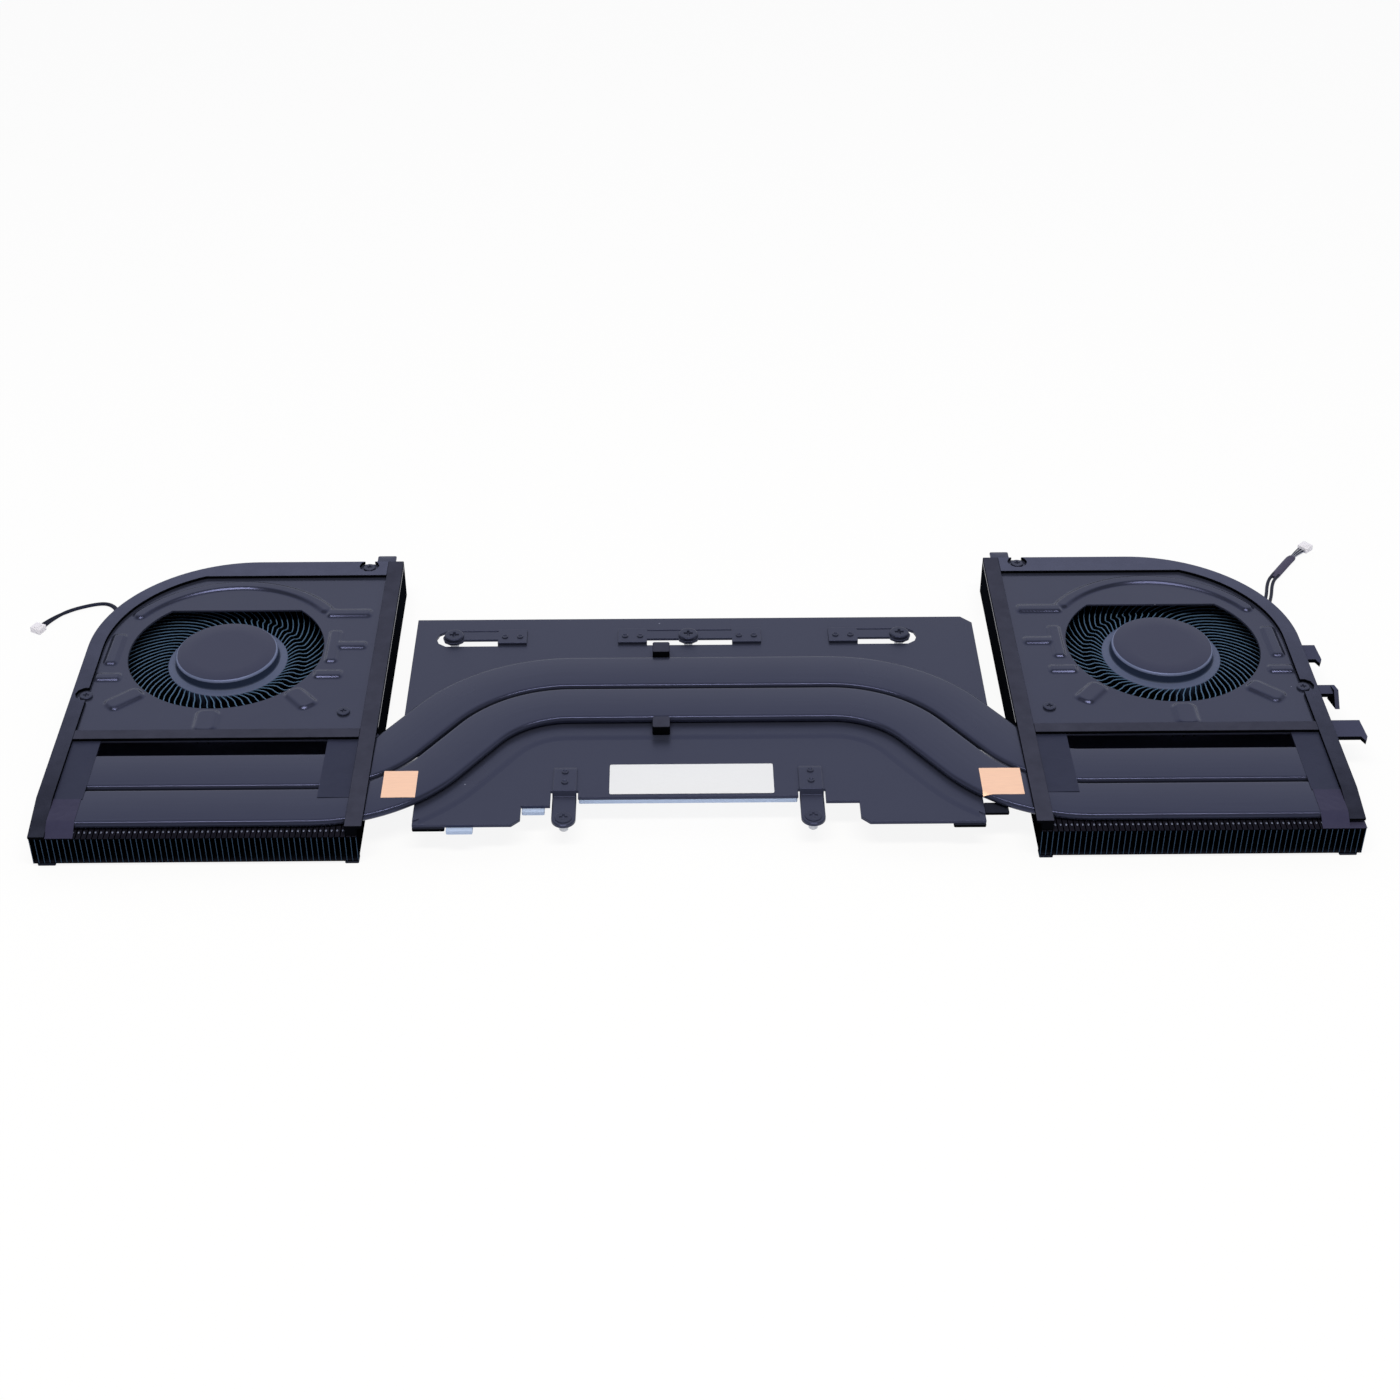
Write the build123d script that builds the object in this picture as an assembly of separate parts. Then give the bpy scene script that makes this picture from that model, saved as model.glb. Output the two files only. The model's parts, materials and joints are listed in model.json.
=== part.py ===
from build123d import *
import math
import os

# Twin-blower cooling module of a laptop. Millimetres; X runs across from the mid-plane between the fans,
# Y runs back from the front line of the fins, and Z runs up from the table.

# Fan modules
inner_edge = 84.5            # mid-plane to the inner side of a module
module_width = 83.5
rear_edge = 121.7            # front line to the rear side of a module
corner_radius = 42.0         # round outer rear corner
fan_offset = 3.45            # middle of the module's width to the fan's axis, outwards
fan_from_front = 78.6        # front line to the fan's axis
wall = 1.4
floor_thickness = 0.8
module_gap = 0.35            # fin stack to fan housing
low_wall_drop = 0.3          # inner wall's low stretch to the pipe above it
pipe_side_gap = 1.2          # pipe to the wall that stops beside it

# Fins
fin_count = 59
fin_thickness = 0.25
fin_skin = 0.3               # top and bottom flanges
fin_lift = 0.8               # fin stack above the table
fin_height = 7.9
fin_front = 0.5
fin_inner_inset = 1.5
fin_outer_inset = 0.2
foot_width = 4.5
foot_depth = 3.0
foot_inset = 1.0
inner_foot_width = 3.5

# Heat pipes
pipe_width = 13.7
pipe_thickness = 2.2
pipe_gap = 0.8
pipe_edge = 0.7              # worn-round side, as a chamfer
pipe_mid_y = 67.7            # rear pipe's centreline between the modules
pipe_fin_y = 25.3            # rear pipe's centreline on the fins
bend_angle = 55.0
upper_bend_radius = 43.2
lower_bend_radius = 23.5
left_bend_start = 34.0
right_bend_start = 35.7
pipe_end_inset = 5.0
pipe_pinch = 4.0             # length over which an end narrows

# Fan covers
cover_thickness = 0.5
inlet_radius = 26.7
inlet_chord = 19.6           # axis to the flat rear side of the inlet
slot_inner = 12.6            # inner side to the start of the outlet slot
slot_outer = 11.5            # outer side to the end of the outlet slot
bar_front = 37.6
bar_depth = 3.8
tab_inset = 2.5
tab_width = 5.4
tab_length = 4.3
bead_height = 0.5
bead_slope = 45.0            # degrees that a bead's sides lean in
rib_radius = 32.0
rib_width = 3.8
rib_start = 31.0
rib_end = 142.0
rib_tail_y = 17.6            # fan's axis to the rib's straight tail
screw_post = 4.4
side_screw_inset = 3.8
side_screw_y = 57.5
inner_screw_inset = 9.8
inner_screw_y = 49.6
rear_screw_inset = 2.4
cover_beads = [              # start, end and width of each pressed bead, from the fan's axis
    (31.0, -7.0, 30.6, 8.3, 4.6),
    (27.2, -12.4, 33.8, -12.4, 4.2),
    (19.2, -18.2, 29.2, -27.2, 5.0),
    (0.6, -37.0, 0.6, -27.6, 6.0),
    (-27.6, -17.4, -18.6, -27.4, 5.0),
    (-32.2, -11.7, -25.4, -11.7, 4.0),
    (-28.6, -6.2, -28.6, 9.2, 3.8),
    (-38.9, 1.9, -30.2, 1.9, 4.2),
]
bead_margin = 0.2            # beads to the gaskets round them

# Gaskets, films and tape
gasket_thickness = 1.0
side_gasket = 4.2
inner_gasket_width = 4.4
rear_gasket = 7.2
gasket_notch = 2.7
ramp_start = 13.4
ramp_end_height = 0.7
inner_gasket_front = 0.9
film_thickness = 0.15
film_front = 13.5
tape_width = 7.0

# Impeller and motor
blade_count = 67
blade_thickness = 0.3
blade_bottom = 2.6
blade_height = 5.3
blade_tip = 31.5
blade_kink = 20.5
inner_lean = 7.5             # degrees that a blade leans by its kink
outer_lean = 33.0            # and by its tip
hub_radius = 14.3
hub_top = 10.6
hub_disc = 0.8
hub_wall = 1.2
hub_bevel = 0.6
flange_radius = 16.4
shaft_radius = 1.0
shaft_clearance = 0.05
shaft_end_gap = 0.2
bearing_radius = 2.6
bearing_height = 5.8
stator_height = 5.2
stator_core = 4.6
stator_radius = 10.5
stator_tooth = 2.6
stator_teeth = 6
stator_fit = 0.1
magnet_sides = 12
magnet_thickness = 1.4
magnet_fit = 0.15
magnet_lift = 0.2
magnet_height = 4.6

# Base plate with its springs
plate_thickness = 0.9
land_height = 0.3            # stamped land that carries the pipes
land_reach = 4.7             # front pipe to the land's front edge
plate_half_width = 78.4
plate_rear = 96.4
plate_corner = 3.0
plate_side_front = 44.0      # where the sides start to draw in
tab_half_width = 72.6        # front tabs, mid-plane to their outer sides
tab_side_rear = 32.0
tab_front = 5.2
tab_corner = 2.2
left_tab_inner = -45.4
left_step_y = 12.6
middle_front = 15.9
right_tab_inner = 41.0
right_step_y = 13.7
spring_y = 86.6
leaf_width = 3.7
leaf_shift = 0.6             # screws' line to the leaf's middle, to the rear
spring_thickness = 0.8
spring_pad = 8.1
pad_width = 6.6
slot_width = 7.4
slot_shift = 0.4             # screws' line to the slot's middle, to the rear
slot_reach = 1.1             # end screw to the middle of the slot's round end
eye_radius = 3.0
arm_width = 6.2
arm_rear = 27.5
arm_bend = 17.4
arm_drop = 1.5
arm_screw_y = 8.6
notch_gap = 0.4
left_screw_x = -67.5
left_pad_x = -51.2
centre_screw_x = -2.0
centre_pad_left = -17.6
centre_pad_right = 14.3
right_screw_x = 57.2
right_pad_x = 41.4
left_arm_x = -34.5
right_arm_x = 29.0
rivet_radius = 0.9
rivet_sides = 6
rivet_height = 0.3
rivet_pitch = 4.2

# Screws
captive_head = 2.7
captive_head_height = 0.9
captive_shank = 1.2
captive_neck = 0.95          # thinner than the shank, so that the eye keeps the screw
captive_neck_gap = 0.3       # eye to the shank's shoulder
captive_length = 3.8
cover_head = 1.75
cover_head_height = 0.6
cover_shank = 0.8
cover_screw_length = 2.5
screw_play = 0.1
head_sides = 10              # flats that stand for small round outlines
hole_sides = 6
screw_end_play = 0.3

# Small pieces on and under the plate
block_thickness = 1.5
block_y = 58.0
left_block = 36.0
right_block = 30.0
block_depth = 30.0
pad_thickness = 1.4
pad_depth = 7.0
pad_overhang = 1.2
tab_pad_width = 6.7
pad_spacing = 0.4            # between the pads on the left tab
step_pad_x = -42.3
step_pad_width = 5.8
pad_side_gap = 0.2
edge_pad_thickness = 1.0
edge_pad_width = 8.2
edge_pad_overhang = 0.4
flap_width = 6.2
flap_front = 8.4
flap_depth = 4.2
label_width = 42.4
label_depth = 12.2
label_x = -1.8
label_front = 17.0
label_thickness = 0.1
foam_width = 4.7
foam_depth = 4.7
foam_x = -9.6
rear_foam_height = 3.8
front_foam_height = 2.9
foam_gap = 0.3
foil_thickness = 0.08
foil_depth = 10.8
left_foil_x = -76.6
left_foil_width = 8.7
left_foil_y = 18.7
right_foil_x = 77.7
right_foil_width = 10.6
right_foil_y = 18.1

# Fan leads, lying on the table
lead_radii = {-1: 0.7, 1: 1.0}
lead_sides = 4
gland_angle = 34.0           # place on the round corner
gland_heading = 52.0
gland_reach = 1.6
gland_width = 3.4
gland_height = 2.6
gland_root = 2.4
lead_first_run = 6.9
plug_length = 3.4
plug_width = 3.6
plug_height = 2.0

# Hooks on the right-hand module
hook_thickness = 1.2
hook_drop = 0.9              # cover's top to the hooks' top
short_hook_reach = 4.7
short_hook_front = 72.0
short_hook_rear = 78.8
long_hook_reach = 8.8
long_hook_front = 36.9
long_hook_rear = 44.1
barb_width = 1.7
barb_length = 2.0
ear_reach = 5.4
ear_front = 52.0
ear_rear = 60.0
ear_height = 4.6

# Places worked out from those sizes
outer_edge = inner_edge + module_width
corner_x = outer_edge - corner_radius
corner_y = rear_edge - corner_radius
fan_x = inner_edge + module_width / 2 + fan_offset
fan_y = fan_from_front
fin_top = fin_lift + fin_height
pipe_top = fin_top + pipe_thickness
pipe_pitch = pipe_width + pipe_gap
pipe_rear = pipe_fin_y + pipe_width / 2
pipe_front = pipe_fin_y - pipe_pitch - pipe_width / 2
housing_front = pipe_rear + module_gap
cover_top = pipe_top
cover_bottom = cover_top - cover_thickness
gasket_top = cover_top + gasket_thickness
slot_start = inner_edge + slot_inner
slot_end = outer_edge - slot_outer
side_gasket_x = outer_edge - side_gasket
inner_gasket_x = inner_edge + inner_gasket_width
rear_gasket_y = rear_edge - rear_gasket
plate_top = fin_top - land_height
plate_bottom = plate_top - plate_thickness
spring_top = plate_top + spring_thickness
blade_top = blade_bottom + blade_height
angle = math.radians(bend_angle)
bend_radii = upper_bend_radius + lower_bend_radius
bend_fall = pipe_mid_y - pipe_fin_y - bend_radii * (1 - math.cos(angle))
slant = bend_fall / math.sin(angle)
bend_run = bend_radii * math.sin(angle) + slant * math.cos(angle)
bend_starts = {-1: left_bend_start, 1: right_bend_start}
front_land = pipe_pitch + pipe_width / 2 + land_reach
cover_screws = [
    (outer_edge - side_screw_inset, side_screw_y),
    (inner_edge + inner_screw_inset, inner_screw_y),
    (inner_edge + inner_screw_inset, rear_edge - rear_screw_inset),
]
rear_springs = {
    "left_rear_spring": (left_screw_x, [left_pad_x]),
    "centre_rear_spring": (centre_screw_x, [centre_pad_left, centre_pad_right]),
    "right_rear_spring": (right_screw_x, [right_pad_x]),
}
front_arms = {"left_front_arm": left_arm_x, "right_front_arm": right_arm_x}


def block(x0, x1, y0, y1, z0, z1):
    """A box between two corners."""
    return Pos((x0 + x1) / 2, (y0 + y1) / 2, (z0 + z1) / 2) * Box(x1 - x0, y1 - y0, z1 - z0)


def raise_face(face, z0, z1):
    """A flat outline drawn at table level, raised to stand between two heights."""
    return extrude(Pos(0, 0, z0) * face, z1 - z0, dir=(0, 0, 1))


def polygon(points):
    return make_face(Polyline(*points, close=True))


def small_disc(radius, sides):
    """Small round outline with flats; the radius is to the middle of a flat."""
    return RegularPolygon(radius, sides, major_radius=False)


def side_profile(points, x0, x1):
    """A profile in Y and Z, carried across from x0 to x1."""
    face = make_face(Polyline(*[(x0, y, z) for y, z in points], close=True))
    return extrude(face, x1 - x0, dir=(1, 0, 0))


def on_side(shape, side):
    """Modules are drawn on the right, and the left one is its mirror image."""
    return shape if side > 0 else mirror(shape, about=Plane.YZ)


def corner_arc(inset):
    """Round outer rear corner of a module, from its side to its rear."""
    radius = corner_radius - inset
    middle = radius * math.sqrt(0.5)
    return ThreePointArc(
        (corner_x + radius, corner_y),
        (corner_x + middle, corner_y + middle),
        (corner_x, corner_y + radius),
    )


def module_outline(front, inset):
    """Plan of a module from a front line back, drawn in by an inset at its sides and rear."""
    left, right, rear = inner_edge + inset, outer_edge - inset, rear_edge - inset
    return make_face([
        Line((left, front), (right, front)),
        Line((right, front), (right, corner_y)),
        corner_arc(inset),
        Line((corner_x, rear), (left, rear)),
        Line((left, rear), (left, front)),
    ])


def gasket_field(front, margin):
    """Plan of what the gasket strips enclose, from a front line back and drawn in by a margin."""
    left, rear = inner_gasket_x + margin, rear_gasket_y - margin
    frame = Pos((left + outer_edge) / 2, (front + rear) / 2) * Rectangle(outer_edge - left, rear - front)
    return module_outline(front, side_gasket + margin) & frame


def pipe_side(shift, side):
    """One half of a pipe's line, from the mid-plane out: a line, the upper arc, the slant and the lower arc.

    The shift moves the line to the front; both arcs keep their centres, so all such lines stay parallel."""
    start = bend_starts[side]
    upper = upper_bend_radius - shift
    lower = lower_bend_radius + shift

    def on_upper(turn):
        across = start + upper * math.sin(turn)
        return (side * across, pipe_mid_y - upper_bend_radius + upper * math.cos(turn))

    def on_lower(turn):
        across = start + bend_run - lower * math.sin(turn)
        return (side * across, pipe_fin_y + lower_bend_radius - lower * math.cos(turn))

    return on_upper, on_lower


def pipe_line(shift, side, end):
    """Edges of one half of a pipe's line, out to a given distance from the mid-plane."""
    on_upper, on_lower = pipe_side(shift, side)
    return [
        Line((0, pipe_mid_y - shift), on_upper(0)),
        ThreePointArc(on_upper(0), on_upper(angle / 2), on_upper(angle)),
        Line(on_upper(angle), on_lower(angle)),
        ThreePointArc(on_lower(angle), on_lower(angle / 2), on_lower(0)),
        Line(on_lower(0), (side * end, pipe_fin_y - shift)),
    ]


def pipe_band(rear_shift, front_shift, end, end_cut):
    """Plan between two parallel pipe lines; the corners of its ends are cut off."""
    edges = []
    for side in (-1, 1):
        edges += pipe_line(rear_shift, side, end) + pipe_line(front_shift, side, end)
        rear_end = (side * end, pipe_fin_y - rear_shift)
        front_end = (side * end, pipe_fin_y - front_shift)
        tip = side * (end + end_cut)
        edges += Polyline(
            rear_end,
            (tip, pipe_fin_y - rear_shift - end_cut),
            (tip, pipe_fin_y - front_shift + end_cut),
            front_end,
        ).edges()
    return make_face(edges)


def pipe_rear_at_wall():
    """How far back the rear pipe reaches where it passes over the inner wall of a module."""
    reach = []
    for side in (-1, 1):
        on_upper, on_lower = pipe_side(-pipe_width / 2, side)
        x, y = on_lower(angle)
        reach.append(y + max(abs(x) - inner_edge, 0) * math.tan(angle))
    return max(reach)


def heat_pipe(shift):
    """A round tube pressed flat and bent in its plane, with its ends pinched shut."""
    end = outer_edge - pipe_end_inset - pipe_pinch
    plan = pipe_band(shift - pipe_width / 2, shift + pipe_width / 2, end, pipe_pinch)
    body = raise_face(plan, fin_top, pipe_top)
    return chamfer(body.edges().group_by(Axis.Z)[-1], pipe_edge)


def fin_stack():
    """Thin upright fins between a top and a bottom skin, open at the front and the rear, on two feet."""
    x0, x1 = inner_edge + fin_inner_inset, outer_edge - fin_outer_inset
    low, high = fin_lift + fin_skin, fin_top - fin_skin
    pitch = (x1 - x0 - fin_thickness) / (fin_count - 1)
    fin = block(x0, x0 + fin_thickness, fin_front, pipe_rear, low, high)
    foot_x, foot_rear = x1 - foot_inset, fin_front + foot_depth
    top_skin = block(x0, x1, fin_front, pipe_rear, high, fin_top)
    bottom_skin = block(x0, x1, fin_front, pipe_rear, fin_lift, low)
    bottom_skin += block(foot_x - foot_width, foot_x, fin_front, foot_rear, 0, fin_lift)
    bottom_skin += block(x0, x0 + inner_foot_width, fin_front, foot_rear, 0, fin_lift)
    return Compound([top_skin, bottom_skin] + [Pos(step * pitch, 0, 0) * fin for step in range(fin_count)])


def hook(reach, front, rear, top):
    """Flat hook on the outer side: an arm out, and a barb that points to the front."""
    tip = outer_edge + reach
    root = outer_edge - wall / 2
    plan = polygon([
        (root, rear),
        (tip - barb_width / 4, rear),
        (tip, front),
        (tip - barb_width / 2, front - barb_length),
        (tip - barb_width, front),
        (root, front),
    ])
    return raise_face(plan, top - hook_thickness, top)


def ear(top):
    """Upright bent tab on a short ledge of the outer side."""
    root, tip = outer_edge - wall / 2, outer_edge + ear_reach
    ledge = block(root, tip, (ear_front + ear_rear) / 2, ear_rear, top - hook_thickness, top)
    upright = side_profile(
        [(ear_front, top - ear_height / 2), (ear_rear, top - ear_height), (ear_rear, top),
         ((ear_front + ear_rear) / 2, top + hook_thickness)],
        tip - hook_thickness, tip,
    )
    return ledge + upright


def cover_screw_posts():
    posts = []
    for x, y in cover_screws:
        half = screw_post / 2
        x1, y1 = min(x + half, outer_edge), min(y + half, rear_edge)
        posts.append(block(x - half, x1, y - half, y1, 0, cover_bottom))
    return posts


def cover_screw_holes(z0, z1):
    hole = raise_face(small_disc(cover_shank + screw_play, hole_sides), z0, z1)
    return [Pos(x, y, 0) * hole for x, y in cover_screws]


def lead_gland():
    """Small boss on the round corner that the fan's lead comes out of."""
    x, y = gland_start()
    turn = Rot(0, 0, gland_heading)
    outward = (Align.MAX, Align.CENTER, Align.MIN)
    body = Box(gland_reach + gland_root, gland_width, gland_height, align=outward)
    return Pos(x, y, 0) * turn * body


def gland_start():
    """Middle of the gland's outer face, in plan."""
    place, heading = math.radians(gland_angle), math.radians(gland_heading)
    x = corner_x + corner_radius * math.cos(place) + gland_reach * math.cos(heading)
    y = corner_y + corner_radius * math.sin(place) + gland_reach * math.sin(heading)
    return x, y


def fan_housing(side):
    """Tray with a floor and a wall on three sides, open to the fins; its wall is low under the pipes."""
    plan = module_outline(housing_front, 0)
    hollow = module_outline(housing_front - wall, wall)
    body = raise_face(plan, 0, cover_bottom)
    body -= raise_face(hollow, floor_thickness, cover_bottom)
    body += cover_screw_posts()
    body -= cover_screw_holes(cover_bottom - cover_screw_length - screw_end_play, cover_bottom)
    body -= block(
        inner_edge, slot_start, housing_front, pipe_rear_at_wall() + pipe_side_gap,
        fin_top - low_wall_drop, cover_bottom,
    )
    body += lead_gland()
    if side > 0:
        top = cover_top - hook_drop
        body += hook(short_hook_reach, short_hook_front, short_hook_rear, top)
        body += hook(long_hook_reach, long_hook_front, long_hook_rear, top)
        body += ear(top)
    return body


def bead(x0, y0, x1, y1, width):
    """Pressed bead: a long raised pad with cut corners and sloping sides."""
    half_length, half_width, cut = math.hypot(x1 - x0, y1 - y0) / 2, width / 2, width / 3
    rear_side = [
        (half_length, half_width - cut),
        (half_length - cut, half_width),
        (cut - half_length, half_width),
        (-half_length, half_width - cut),
    ]
    front_side = [(-x, -y) for x, y in rear_side]
    pad = extrude(polygon(rear_side + front_side), bead_height, taper=bead_slope)
    turn = math.degrees(math.atan2(y1 - y0, x1 - x0))
    return Pos((x0 + x1) / 2, (y0 + y1) / 2, cover_top) * Rot(0, 0, turn) * pad


def rear_rib():
    """Pressed rib round the rear of the inlet, with a straight tail to the inner side."""
    inner, outer = rib_radius - rib_width / 2, rib_radius + rib_width / 2

    def at(radius, turn):
        return (fan_x + radius * math.cos(turn), fan_y + radius * math.sin(turn))

    first, last = math.radians(rib_start), math.radians(rib_end)
    middle = (first + last) / 2
    plan = make_face([
        ThreePointArc(at(outer, first), at(outer, middle), at(outer, last)),
        Line(at(outer, last), at(inner, last)),
        ThreePointArc(at(inner, last), at(inner, middle), at(inner, first)),
        Line(at(inner, first), at(outer, first)),
    ])
    rib = raise_face(plan, cover_top, cover_top + bead_height)
    tail_x, tail_y = at(rib_radius, last)[0] + rib_width / 4, fan_y + rib_tail_y
    tail = bead(tail_x, tail_y, inner_gasket_x + rib_width / 2, tail_y, rib_width)
    return rib + tail


def fan_cover():
    """Sheet cover: round inlet cut straight at its rear, outlet slot, pressed beads and a rear tab."""
    plan = module_outline(housing_front, 0)
    plan -= Pos((slot_start + slot_end) / 2, (housing_front + bar_front) / 2) * Rectangle(
        slot_end - slot_start, bar_front - housing_front)
    wall_end = pipe_rear_at_wall() + pipe_side_gap
    plan -= polygon([(inner_edge, housing_front), (slot_start, housing_front), (slot_start, bar_front),
                     (inner_edge, wall_end)])
    tab_x = inner_edge + tab_inset
    plan += polygon([(tab_x, rear_edge - wall), (tab_x + tab_width, rear_edge - wall),
                     (tab_x + tab_width, rear_edge + tab_length), (tab_x, rear_edge + tab_length)])
    inlet = Circle(inlet_radius)
    inlet -= Pos(0, inlet_chord + inlet_radius) * Rectangle(2 * inlet_radius, 2 * inlet_radius)
    cover = raise_face(plan, cover_bottom, cover_top)
    field = gasket_field(bar_front + bar_depth, bead_margin)
    beads = Part() + [Pos(fan_x, fan_y, 0) * bead(*spot) for spot in cover_beads] + rear_rib()
    cover += beads & raise_face(field, cover_top, cover_top + bead_height)
    cover -= raise_face(Pos(fan_x, fan_y) * inlet, cover_bottom, cover_top + bead_height)
    return cover - cover_screw_holes(cover_bottom, cover_top)


def cover_screw_set():
    """Pan-head screws that hold the cover on its posts."""
    screw = raise_face(small_disc(cover_head, head_sides), 0, cover_head_height)
    screw += raise_face(small_disc(cover_shank, hole_sides), -cover_screw_length, 0)
    return Part() + [Pos(x, y, cover_top) * screw for x, y in cover_screws]


def outer_gasket():
    """Foam strip round the outer side, the round corner and the rear, with a ramp down to the fins' front."""
    plan = module_outline(housing_front, 0) - gasket_field(housing_front, 0)
    strip = raise_face(plan, cover_top, gasket_top)
    strip -= block(inner_edge, inner_gasket_x, housing_front, rear_edge, cover_top, gasket_top)
    ramp = [
        (fin_front, fin_top),
        (housing_front, fin_top),
        (housing_front, gasket_top),
        (ramp_start, gasket_top),
        (fin_front, fin_top + ramp_end_height),
    ]
    strip += side_profile(ramp, side_gasket_x, outer_edge)
    relief = block(side_gasket_x, outer_edge, pipe_rear, housing_front, fin_top, cover_bottom)
    notch = raise_face(small_disc(gasket_notch, head_sides), cover_top, gasket_top)
    side_screw, _, rear_screw = cover_screws
    return strip - relief - [Pos(x, y, 0) * notch for x, y in (side_screw, rear_screw)]


def inner_gasket():
    """Straight foam strip over the pipes, with a thick front end on the fins."""
    strip = block(inner_edge, inner_gasket_x, inner_gasket_front, rear_edge, cover_top, gasket_top)
    fin_start = inner_edge + fin_inner_inset
    return strip + block(fin_start, inner_gasket_x, inner_gasket_front, pipe_front, fin_top, cover_top)


def cross_gasket():
    return block(inner_gasket_x, side_gasket_x, bar_front, bar_front + bar_depth, cover_top, gasket_top)


def inner_film():
    return block(inner_gasket_x, slot_start, film_front, bar_front, cover_top, cover_top + film_thickness)


def outer_film():
    return block(slot_end, side_gasket_x, film_front, bar_front, cover_top, cover_top + film_thickness)


def end_tape():
    """Tape over the ends of the pipes, bent down on to the fins in front."""
    brow = pipe_front + pipe_edge
    points = [
        (film_front, cover_top),
        (film_front, cover_top + film_thickness),
        (brow - film_thickness, cover_top + film_thickness),
        (fin_front, fin_top + film_thickness),
        (fin_front, fin_top),
        (fin_front + film_thickness, fin_top),
        (brow - film_thickness, cover_top - film_thickness / 4),
        (brow, cover_top),
    ]
    return side_profile(points, side_gasket_x - tape_width, side_gasket_x)


def rotor_hub():
    """Cup with a bevelled disc, a flange with a flat for each blade, and flats inside for the magnet."""
    profile = Plane.XZ * polygon([
        (0, blade_bottom),
        (hub_radius, blade_bottom),
        (hub_radius, hub_top - hub_bevel),
        (hub_radius - hub_bevel, hub_top),
        (0, hub_top),
    ])
    flange = Rot(0, 0, 180 / blade_count) * RegularPolygon(flange_radius, blade_count, major_radius=False)
    hollow = RegularPolygon(hub_radius - hub_wall, magnet_sides)
    hub = revolve(profile, Axis.Z) + raise_face(flange, blade_bottom, blade_top)
    return hub - raise_face(hollow, blade_bottom, hub_top - hub_disc)


def fan_blade():
    """Thin leaf that leans back from the flange, bends where it is thickest and thins to its tip."""
    spots = [(flange_radius, 0), (blade_kink, inner_lean), (blade_tip, outer_lean)]
    turns = [(radius, -math.radians(lean)) for radius, lean in spots]
    root, kink, tip = [Vector(radius * math.cos(turn), radius * math.sin(turn)) for radius, turn in turns]
    bend = (kink - root).normalized() + (tip - kink).normalized()
    half = Vector(-bend.Y, bend.X).normalized() * (blade_thickness / 2)
    corners = [root, kink + half, tip, kink - half]
    return raise_face(polygon([(corner.X, corner.Y) for corner in corners]), blade_bottom, blade_top)


def impeller():
    """Hub and its blades, which are set side by side round the flange."""
    blade = fan_blade()
    blades = [Rot(0, 0, turn * 360 / blade_count) * blade for turn in range(blade_count)]
    return Pos(fan_x, fan_y, 0) * Compound([rotor_hub()] + blades)


def magnet_ring():
    """Magnet strip bent round the inside of the cup in flat poles."""
    outer = hub_radius - hub_wall - magnet_fit
    ring = RegularPolygon(outer, magnet_sides) - RegularPolygon(outer - magnet_thickness, magnet_sides)
    bottom = blade_bottom + magnet_lift
    return Pos(fan_x, fan_y, 0) * raise_face(ring, bottom, bottom + magnet_height)


def motor_shaft():
    bottom, top = floor_thickness + shaft_end_gap, hub_top - hub_disc
    return Pos(fan_x, fan_y, (bottom + top) / 2) * Cylinder(shaft_radius, top - bottom)


def bearing_tube():
    tube = small_disc(bearing_radius, head_sides) - Circle(shaft_radius + shaft_clearance)
    return Pos(fan_x, fan_y, 0) * raise_face(tube, floor_thickness, floor_thickness + bearing_height)


def stator():
    """Toothed core of the motor, round the bearing tube."""
    tooth = Pos(stator_radius / 2, 0) * Rectangle(stator_radius, stator_tooth)
    plan = RegularPolygon(stator_core, stator_teeth) + PolarLocations(0, stator_teeth) * tooth
    plan -= small_disc(bearing_radius + stator_fit, head_sides)
    return Pos(fan_x, fan_y, 0) * raise_face(plan, floor_thickness, floor_thickness + stator_height)


def spring_slot(screw_x, pads):
    """Opening in the plate under the free part of a spring, round at the screw's end."""
    half = slot_width / 2
    inner = [x - math.copysign(spring_pad / 2, x - screw_x) for x in pads]
    end = screw_x
    if len(pads) == 1:
        end -= math.copysign(slot_reach, pads[0] - screw_x)
    x0, x1 = min(inner + [end]), max(inner + [end])
    slot = Pos((x0 + x1) / 2, spring_y + slot_shift) * Rectangle(x1 - x0, slot_width)
    return slot + Pos(end, spring_y + slot_shift) * small_disc(half, head_sides)


def arm_notch(x):
    """Left and right sides of the notch that an arm passes through."""
    half = arm_width / 2 + notch_gap
    return x - half, x + half


def base_plate():
    """Stamped plate: raised land under the pipes, slots for the springs, and a stepped front edge."""
    side = plate_half_width
    arm_stop = arm_bend + spring_thickness + notch_gap
    left_0, left_1 = arm_notch(left_arm_x)
    right_0, right_1 = arm_notch(right_arm_x)
    outline = polygon([
        (-side, plate_rear),
        (-side, plate_side_front),
        (-tab_half_width, tab_side_rear),
        (-tab_half_width, tab_front),
        (left_tab_inner - tab_corner, tab_front),
        (left_tab_inner, tab_front + tab_corner),
        (left_tab_inner, left_step_y),
        (left_0, left_step_y),
        (left_0, arm_stop),
        (left_1, arm_stop),
        (left_1, middle_front),
        (right_0, middle_front),
        (right_0, arm_stop),
        (right_1, arm_stop),
        (right_1, right_step_y),
        (right_tab_inner, right_step_y),
        (right_tab_inner, tab_front + tab_corner),
        (right_tab_inner + tab_corner, tab_front),
        (tab_half_width, tab_front),
        (tab_half_width, tab_side_rear),
        (side, plate_side_front),
        (side, plate_rear - plate_corner),
        (side - plate_corner, plate_rear),
    ])
    for screw_x, pads in rear_springs.values():
        outline -= spring_slot(screw_x, pads)
    land = outline & pipe_band(-pipe_width / 2, front_land, inner_edge, pipe_pinch)
    return raise_face(outline, plate_bottom, plate_top) + raise_face(land, plate_top, fin_top)


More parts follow.
